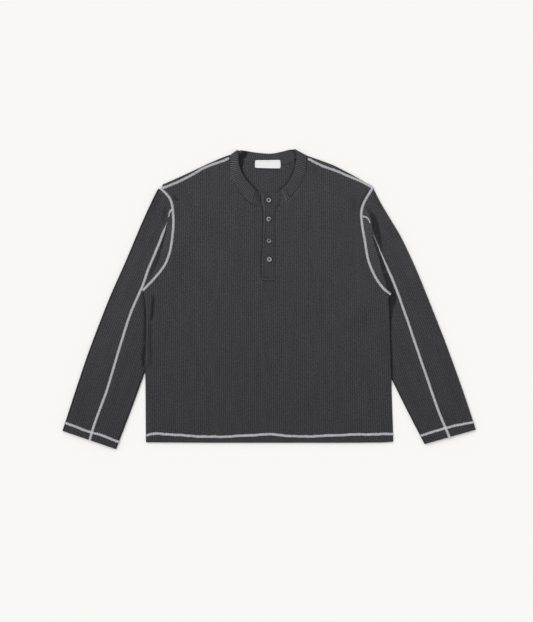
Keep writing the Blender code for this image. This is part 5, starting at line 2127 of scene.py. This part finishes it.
@dataclass
class Placket:
    """The two button strips."""

    knit: Material
    ribs: BodyRibs = field(default_factory=BodyRibs)
    lift_height: float = 2.2
    base: float = BODY_TOP + RIB_HEIGHT + 0.2
    # Dents and edges of the outer strip; the last number is painted shade, below 0 painted light.
    dents: Sequence[Fold] = (
        Fold(((14, 40), (14, 120), (14, 222)), -0.6, 5, 5, 3, -0.08),
        Fold(((-16.5, 51.4), (-6, 51.4), (4, 51.2)), -0.5, 1.6, 1.6, 4, 0.45),
        Fold(((-15.5, 55.5), (-12, 56), (-7, 55.5)), -0.4, 2.4, 2.4, 3, 0.35),
        Fold(((-17.5, 46.8), (-2, 47), (12.5, 46.8)), 0.3, 1.5, 1.5, 2, -0.5),
        Fold([(x + 1.5, y) for x, y in PLACKET_EDGE[1:]], 0.3, 1, 1, 6, -0.4),
        Fold([(x + 4, y) for x, y in PLACKET_EDGE[1:]], -0.35, 1.3, 1.3, 8, 0.32),
        Fold(((-15, 249.6), (2, 251.6), (20, 252.6)), 0.3, 1.2, 1.2, 2, -0.45),
        Fold(((-15.4, 250), (-14.2, 240), (-12.6, 229), (-11, 212)), 0.3, 1.4, 1.4, 3, -1),
        Fold(((-14, 246.2), (2, 247.6), (18, 248.8)), -0.4, 1.2, 1.2, 5, 0.4),
        Fold(((-10, 243), (-1, 237.1), (8, 231)), -0.5, 9, 9, 8, 0.14),
        Fold(((-8, 198), (-0.6, 192), (6, 186)), -0.4, 8, 8, 8, 0.12),
        Fold(((-8, 146), (-0.6, 139.9), (6, 134)), -0.5, 8, 8, 8, 0.12),
        Fold(((-8, 101), (0.6, 95), (8, 89)), -0.4, 8, 8, 8, 0.12),
    )

    def lift(self, at: Plan) -> Values:
        """Rise of the strips towards the collar."""
        return self.lift_height * smooth((at[:, 1] - 222.0) / 40.0)

    def top_strip(self) -> Cut:
        """Build the outer strip, whose free edge lies on the front panel.

        Returns:
            The strip.
        """
        ring = ring_of([(PLACKET_LOW_X, PLACKET_FOOT), (PLACKET_HIGH_X, PLACKET_FOOT)],
                       PLACKET_TOP_END[::-1], spline(PLACKET_EDGE, 5.0)[::-1])
        edge = Line(closed(ring))
        wall = Wall(
            ring, lambda at: self.base + WALL + self.lift(at) + rise_of(self.dents, at),
            lambda at: self.base + self.lift(at), self.ribs.numbers,
            lambda at: smooth((edge.distance(at) - 1.2) / 2.0),
            self.ribs.lines((-19.0, 40.0), (31.0, 270.0), 4.0) + fine_lines(self.dents),
            edge_drop=0.55, edge_round=1.8,
            crease=lambda at: painted_shade_of(self.dents, at),
        )
        piece = knitted(wall.cloth(), "placket_strip", self.knit, "placket_top")
        return Cut(piece, ring, ["front_panel"])

    def under_strip(self) -> Cut:
        """Build the inner strip, which shows at the upper corner of the opening.

        Returns:
            The strip.
        """
        left, right = PLACKET_LOW_X + SLIT_LAP + GAP, PLACKET_HIGH_X - SLIT_LAP - GAP
        foot = PLACKET_FOOT + SLIT_LAP + GAP
        ring = ring_of([(left, foot), (right, foot), (right, 252.0)], UNDER_CORNER,
                       [(left, SLIT_TOP + 4.0)])
        def base(at: Plan) -> Values:
            return LAYER + 0.8 * smooth((at[:, 1] - 236.0) / 12.0)
        edge = Line(closed(ring))
        wall = Wall(ring, lambda at: base(at) + WALL, base, self.ribs.numbers,
                    lambda at: smooth(edge.distance(at) / 2.5) * smooth((at[:, 1] - 226.0) / 6.0),
                    self.ribs.lines((-23.0, 224.0), (-5.0, 256.0), 4.0),
                    # painted light over the whole facing, which lies in the collar's shade
                    crease=lambda at: np.full(len(at), -0.6))
        piece = knitted(wall.cloth(), "placket_facing", self.knit, "placket_under")
        return Cut(piece, ring, ["back_panel"])


@dataclass
class Label:
    """The bare woven label inside the back neck, caught in the seam along its upper edge."""

    weave: Material
    thickness: float = 0.55
    low: float = LAYER + 0.45

    def under(self, at: Plan) -> Values:
        """Lower face: the label bows up a little between its ends and curls at its free edge.

        Args:
            at: the points.

        Returns:
            Its height at each.
        """
        middle = 1.0 - np.clip(np.abs(at[:, 0] + 3.0) / 31.0, 0.0, 1.0) ** 2
        free = smooth((326.0 - at[:, 1]) / 14.0)
        return self.low + 0.5 * middle * free + 0.35 * free * np.sin((at[:, 0] + 3.0) / 10.0) ** 2

    def build(self) -> Cut:
        """Build the label.

        Returns:
            The label.
        """
        ring = ring_of(spline(LABEL_OUTLINE + LABEL_OUTLINE[:1], 2.5))
        spots = lattice((-40.0, 308.0), (34.0, 336.0), 2.2)
        wall = Wall(ring, lambda at: self.under(at) + self.thickness, self.under,
                    lambda at: np.column_stack([(at[:, 0] + 3.0) * MM, at[:, 1] - 321.6]),
                    lambda at: np.zeros(len(at)),
                    (), spots, (), spots, edge_drop=0.2, edge_round=0.5, edge_rows=(0.3,))
        piece = knitted(wall.cloth(), "label_tape", self.weave, "neck_label", "label")
        return Cut(piece, ring, ["back_panel"])


@dataclass
class Buttons:
    """Four dished buttons, each with four holes and a cross of thread."""

    gloss: Material
    thread: Material
    radius: float = 6.2
    hole: float = 0.85
    spread: float = 1.7
    section: Sequence[Row] = (
        (0.0, 1.35), (1.2, 1.35), (2.4, 1.4), (3.0, 1.6), (3.5, 2.05), (4.1, 2.5), (4.7, 2.68),
        (5.3, 2.6), (5.8, 2.25), (6.1, 1.75), (6.2, 1.25), (6.05, 0.75), (5.6, 0.3), (4.8, 0.05),
        (3.0, 0.0), (0.0, 0.0),
    )
    tilts: Sequence[Row] = ((-5.0, 4.0), (6.0, -5.0), (2.0, 9.0), (-4.0, -4.0))
    tones: Sequence[Row] = ((0.0, 0.02), (2.4, 0.05), (3.0, 0.5), (3.5, 1.0), (4.1, 1.05), (4.7, 0.95),
                            (5.3, 0.14), (5.8, 0.03), (6.2, 0.02))     # lightness from the middle out: a dark middle, a light rim and painted shade on the outer bevel
    sides: Sequence[tuple[float, ...]] = (  # way of the side with a painted glint, its gain, the button's painted level, way of the side with painted shade
        (-80.0, 0.2, 1.0, 20.0), (150.0, 0.3, 1.05, -40.0), (200.0, 0.3, 0.66, 60.0),
        (-20.0, 0.1, 1.05, -90.0))
    painted_dullness: Sequence[float] = (0.25, 0.85, 0.5, 0.0)      # how much painted shade dulls that side

    def lathe(self, section: Sequence[Row], segments: int) -> Solid:
        """Turn a half section that starts and ends on the axis.

        Args:
            section: radius and height of each corner.
            segments: how many go round.

        Returns:
            Its points and faces.
        """
        inner = np.array(section[1:-1])
        points = [np.array([[0.0, 0.0, section[0][1]], [0.0, 0.0, section[-1][1]]])]
        for k in range(segments):
            turn = math.tau * k / segments
            points.append(np.column_stack([inner[:, 0] * math.cos(turn), inner[:, 0] * math.sin(turn),
                                           inner[:, 1]]))
        n = len(inner)
        faces = []
        for k in range(segments):
            now, then = 2 + k * n, 2 + (k + 1) % segments * n
            faces += [(now + i, now + i + 1, then + i + 1, then + i) for i in range(n - 1)]
            faces += [(0, now, then), (1, then + n - 1, now + n - 1)]
        return np.vstack(points), faces

    def blank(self, number: int) -> Object:
        """One button with its holes cut.

        Args:
            number: which button, from 1.

        Returns:
            The button.
        """
        made = plain_object(f"button_{number}_gloss", *self.lathe(self.section, 48), self.gloss)
        bore = ((0.0, 4.0), (self.hole, 4.0), (self.hole, -1.0), (0.0, -1.0))
        cutters = []
        for corner in range(4):
            turn = math.tau * (corner + 0.5) / 4
            points, faces = self.lathe(bore, 14)
            points = points + self.spread * np.array([math.cos(turn), math.sin(turn), 0.0])
            cutters.append(plain_object(f"bore_{corner}", points, faces))
            cut = made.modifiers.new("bore", "BOOLEAN")
            cut.operation, cut.solver, cut.object = "DIFFERENCE", "EXACT", cutters[-1]
        ready = made.evaluated_get(bpy.context.evaluated_depsgraph_get())
        mesh = bpy.data.meshes.new_from_object(ready)
        made.modifiers.clear()
        made.data = mesh
        for cutter in cutters:
            bpy.data.objects.remove(cutter)
        mesh.shade_smooth()
        mesh.set_sharp_from_angle(angle=math.radians(42))
        places = np.array([v.co for v in mesh.vertices]) / MM
        # Painted glints and shade: a lit side, a dull side and a level for each button, and its underside
        # painted dark.
        way, gain, level, dull_way = self.sides[number - 1]
        turned = np.arctan2(places[:, 1], places[:, 0]) - math.radians(way)
        off = np.cos(turned + math.radians(way - dull_way))
        painted_dullness = self.painted_dullness[number - 1] * smooth((off - 0.55) / 0.35)
        radii, tones = np.array(self.tones).T
        tone = np.interp(np.hypot(places[:, 0], places[:, 1]), radii, tones)
        tone = level * tone * (1.0 + gain * np.cos(turned)) * (1.0 - painted_dullness) * (places[:, 2] > 0.9)
        store(mesh, "tone", tone)
        return made

    def cross(self) -> Solid:
        """Two crossing pairs of strands that go down through the holes.

        Returns:
            Its points and faces.
        """
        parts = []
        for turn, high in ((0.25, 0.0), (0.75, 0.45)):
            way = np.array([math.cos(math.pi * turn), math.sin(math.pi * turn), 0.0]) * self.spread
            aside = np.array([-way[1], way[0], 0.0]) / self.spread
            for strand in (-0.3, 0.3):
                rows = ((-1.12, 0.1), (-1.05, 1.3), (-0.8, 1.85 + high), (0.0, 2.05 + high),
                        (0.8, 1.85 + high), (1.05, 1.3), (1.12, 0.1))
                path = np.array([way * t + aside * strand + (0.0, 0.0, z) for t, z in rows])
                parts.append(thread_tube(path, 0.62, 0.62))
        return joined(parts)

    def build(self, surface: Surface) -> list[Object]:
        """Make every button just clear of the strip, each tilted its own way, and its thread.

        Args:
            surface: the finished cloth.

        Returns:
            The buttons and threads.
        """
        out = []
        for number, ((x, y), tilt) in enumerate(zip(BUTTON_CENTRES, self.tilts), 1):
            round_rim = [(x + self.radius * math.cos(a), y + self.radius * math.sin(a))
                         for a in np.linspace(0.0, math.tau, 16, endpoint=False)]
            base = max(surface.height(*place) for place in [(x, y), *round_rim]) + 0.15
            piece = self.blank(number)
            turn = Euler((math.radians(tilt[0]), math.radians(tilt[1]), 0.0)).to_matrix()
            rise = base + self.radius * math.sin(math.radians(max(abs(t) for t in tilt)))
            place = Matrix.Translation(Vector((x, y, rise)) * MM) @ turn.to_4x4()
            piece.data.transform(place)
            out.append(dress(piece, "button", f"button_{number}"))
            thread = plain_object(f"button_{number}_thread", *self.cross(), self.thread)
            thread.data.transform(place)
            out.append(dress(thread, "knit"))
        return out


@dataclass
class Sewing:
    """All the thread that shows."""

    pale: Material
    own: Material
    flatlock: Stitch = Stitch(StitchKind.FLATLOCK, 2.1)
    running: Stitch = Stitch(StitchKind.RUNNING, 3.1, thread=0.75)

    def run(self, name: str, paths: Sequence[Laid], stitch: Stitch, wobble: float = 0.06
            ) -> Object:
        """Sew one seam."""
        thread = self.pale if stitch.kind is StitchKind.FLATLOCK else self.own
        return sew(name, paths, stitch, thread, wobble, len(name))

    def bands(self, surface: Surface) -> dict[str, list[Object]]:
        """Sew the pale covering bands and the self-coloured rows.

        Args:
            surface: the finished cloth.

        Returns:
            The pieces on each cloth, by its name.
        """
        out: dict[str, list[Object]] = {}
        for side in Side:
            hand = side.name.lower()
            out[f"sleeve_{hand}_cloth"] = [
                self.run(f"seam_sleeve_{hand}",
                         [surface.lay(LONG_SEAM[side], sizes=(0.1, 1.0), wave=0.12, ramp=SEAM_RAMP[side])],
                         self.flatlock),
                self.run(f"seam_cuff_{hand}", [surface.lay(CUFF_SEAM[side], wave=0.35)], self.flatlock,
                         0.14),
                self.run(f"seam_hook_{hand}", [surface.lay(SEAM_HOOK[side], 3.0, sizes=(0.75, 0.4))],
                         self.flatlock),
                self.run(f"seam_armhole_{hand}", [surface.lay(ARM_SEAM[side], wave=0.1)], self.flatlock),
            ]
            out.setdefault("front_panel", []).append(
                self.run(f"seam_shoulder_{hand}", [surface.lay(SHOULDER_SEAM[side], wave=0.2)],
                         self.flatlock, 0.1))
        out["front_panel"].append(
            self.run("seam_hem", [surface.lay(HEM_SEAM, wave=0.4)], self.flatlock, 0.14))
        edge = [(x + 2.6, y) for x, y in PLACKET_EDGE[1:-1]]
        rows = [edge, ((-15.6, 49.0), (11.6, 49.0)), ((-15.0, 56.0), (11.2, 56.0)),
                ((-14.2, 246.6), (5.0, 250.6), (21.0, 251.6))]
        out["placket_strip"] = [
            self.run("seam_placket", [surface.lay(row, 1.0, 1.5) for row in rows], self.running)]
        back = ((-62.0, 335.6), (-41.4, 333.6), (-5.2, 332.6), (30.0, 333.2), (46.0, 334.4), (60.0, 338.0))
        out["back_panel"] = [sew("seam_back_neck", [surface.lay(back, 3.0, sizes=(0.55, 0.55))],
                                 self.flatlock, self.own, 0.1)]
        return out


@dataclass
class Studio:
    """Camera straight above, a pale floor and soft light."""

    image: tuple[int, int] = (533, 622)     # pixels
    pixel: float = 2.4              # millimetres of the shirt
    centre: Row = (-0.00636, -0.02832)
    height: float = 4.0             # metres

    def build(self) -> None:
        """Make the camera, the floor, the lights and the world."""
        scene = bpy.context.scene
        camera = bpy.data.cameras.new("camera")
        view = add_object("camera", camera)
        view.location = (*self.centre, self.height)
        camera.lens = camera.sensor_width * self.height / (max(self.image) * self.pixel * MM)
        scene.camera = view
        scene.view_settings.view_transform = "Standard"
        self.floor()
        self.light("key_light", (-1.1, 1.0, 1.9), 1.42, 60.0)
        world = bpy.data.worlds.new("studio")
        world.use_nodes = True
        colour, strength = world.node_tree.nodes["Background"].inputs[:2]
        colour.default_value, strength.default_value = (1.0, 0.995, 0.985, 1.0), 0.663
        scene.world = world

    @staticmethod
    def floor() -> None:
        """A wide pale floor just under the shirt."""
        paper = Paint("floor_paper", Roughness=0.9, Specular_IOR_Level=0.0,
                      Base_Color=(0.93, 0.924, 0.91, 1.0)).material
        half, low = 6000.0, -0.2
        corners = [(x, y, low) for x, y in ((-half, -half), (half, -half), (half, half), (-half, half))]
        floor = plain_object("floor", np.array(corners), [(0, 1, 2, 3)], paper)

    @staticmethod
    def light(name: str, way: tuple[float, float, float], strength: float, width: float) -> None:
        """A wide, even, distant light, as from a large diffuser.

        Args:
            name: the light's name.
            way: direction from the shirt to the light.
            strength: its strength.
            width: how wide it looks from the shirt, in degrees.
        """
        lamp = bpy.data.lights.new(name, "SUN")
        lamp.energy, lamp.angle = strength, math.radians(width)
        add_object(name, lamp).rotation_euler = (-Vector(way)).to_track_quat("-Z", "Y").to_euler()


def main() -> None:
    """Build every piece in order."""
    logging.basicConfig(level=logging.INFO, format="%(name)s %(message)s")
    Studio().build()
    knit = KnitFinish("knit_heather").build()
    body, placket = Body(knit), Placket(knit)
    cuts = [
        body.front(), body.back(),
        Sleeve(RIGHT, knit, RIGHT_SLEEVE_FOLDS, RIGHT_SLEEVE_CREASES, rim_painted_shade=(0.95, 0.6)).build(),
        Sleeve(LEFT, knit, LEFT_SLEEVE_FOLDS, LEFT_SLEEVE_CREASES).build(),
        placket.top_strip(), placket.under_strip(),
    ]
    rib = KnitFinish("knit_collar", level=0.080, fleck=0.36, painted_groove_shade=0.95, brightening=0.1)
    collar = Collar(rib.build()).build()
    surface = Surface(*(cut.piece for cut in cuts), collar)
    label = Label(LabelFinish().build()).build()
    pale = ThreadFinish("thread_pale", 0.62, (1.0, 0.985, 1.06)).build()
    own = ThreadFinish("thread_own", 0.065, (1.0, 0.998, 1.118)).build()
    sewn = Sewing(pale, own).bands(surface)
    sewn["placket_strip"] += Buttons(ButtonFinish().build(),
                                     ThreadFinish("thread_dark", 0.02).build()).build(surface)
    for cut in (*cuts, label):
        cut.declare(sewn.get(cut.piece.name, ()))


if __name__ == "__main__":
    main()
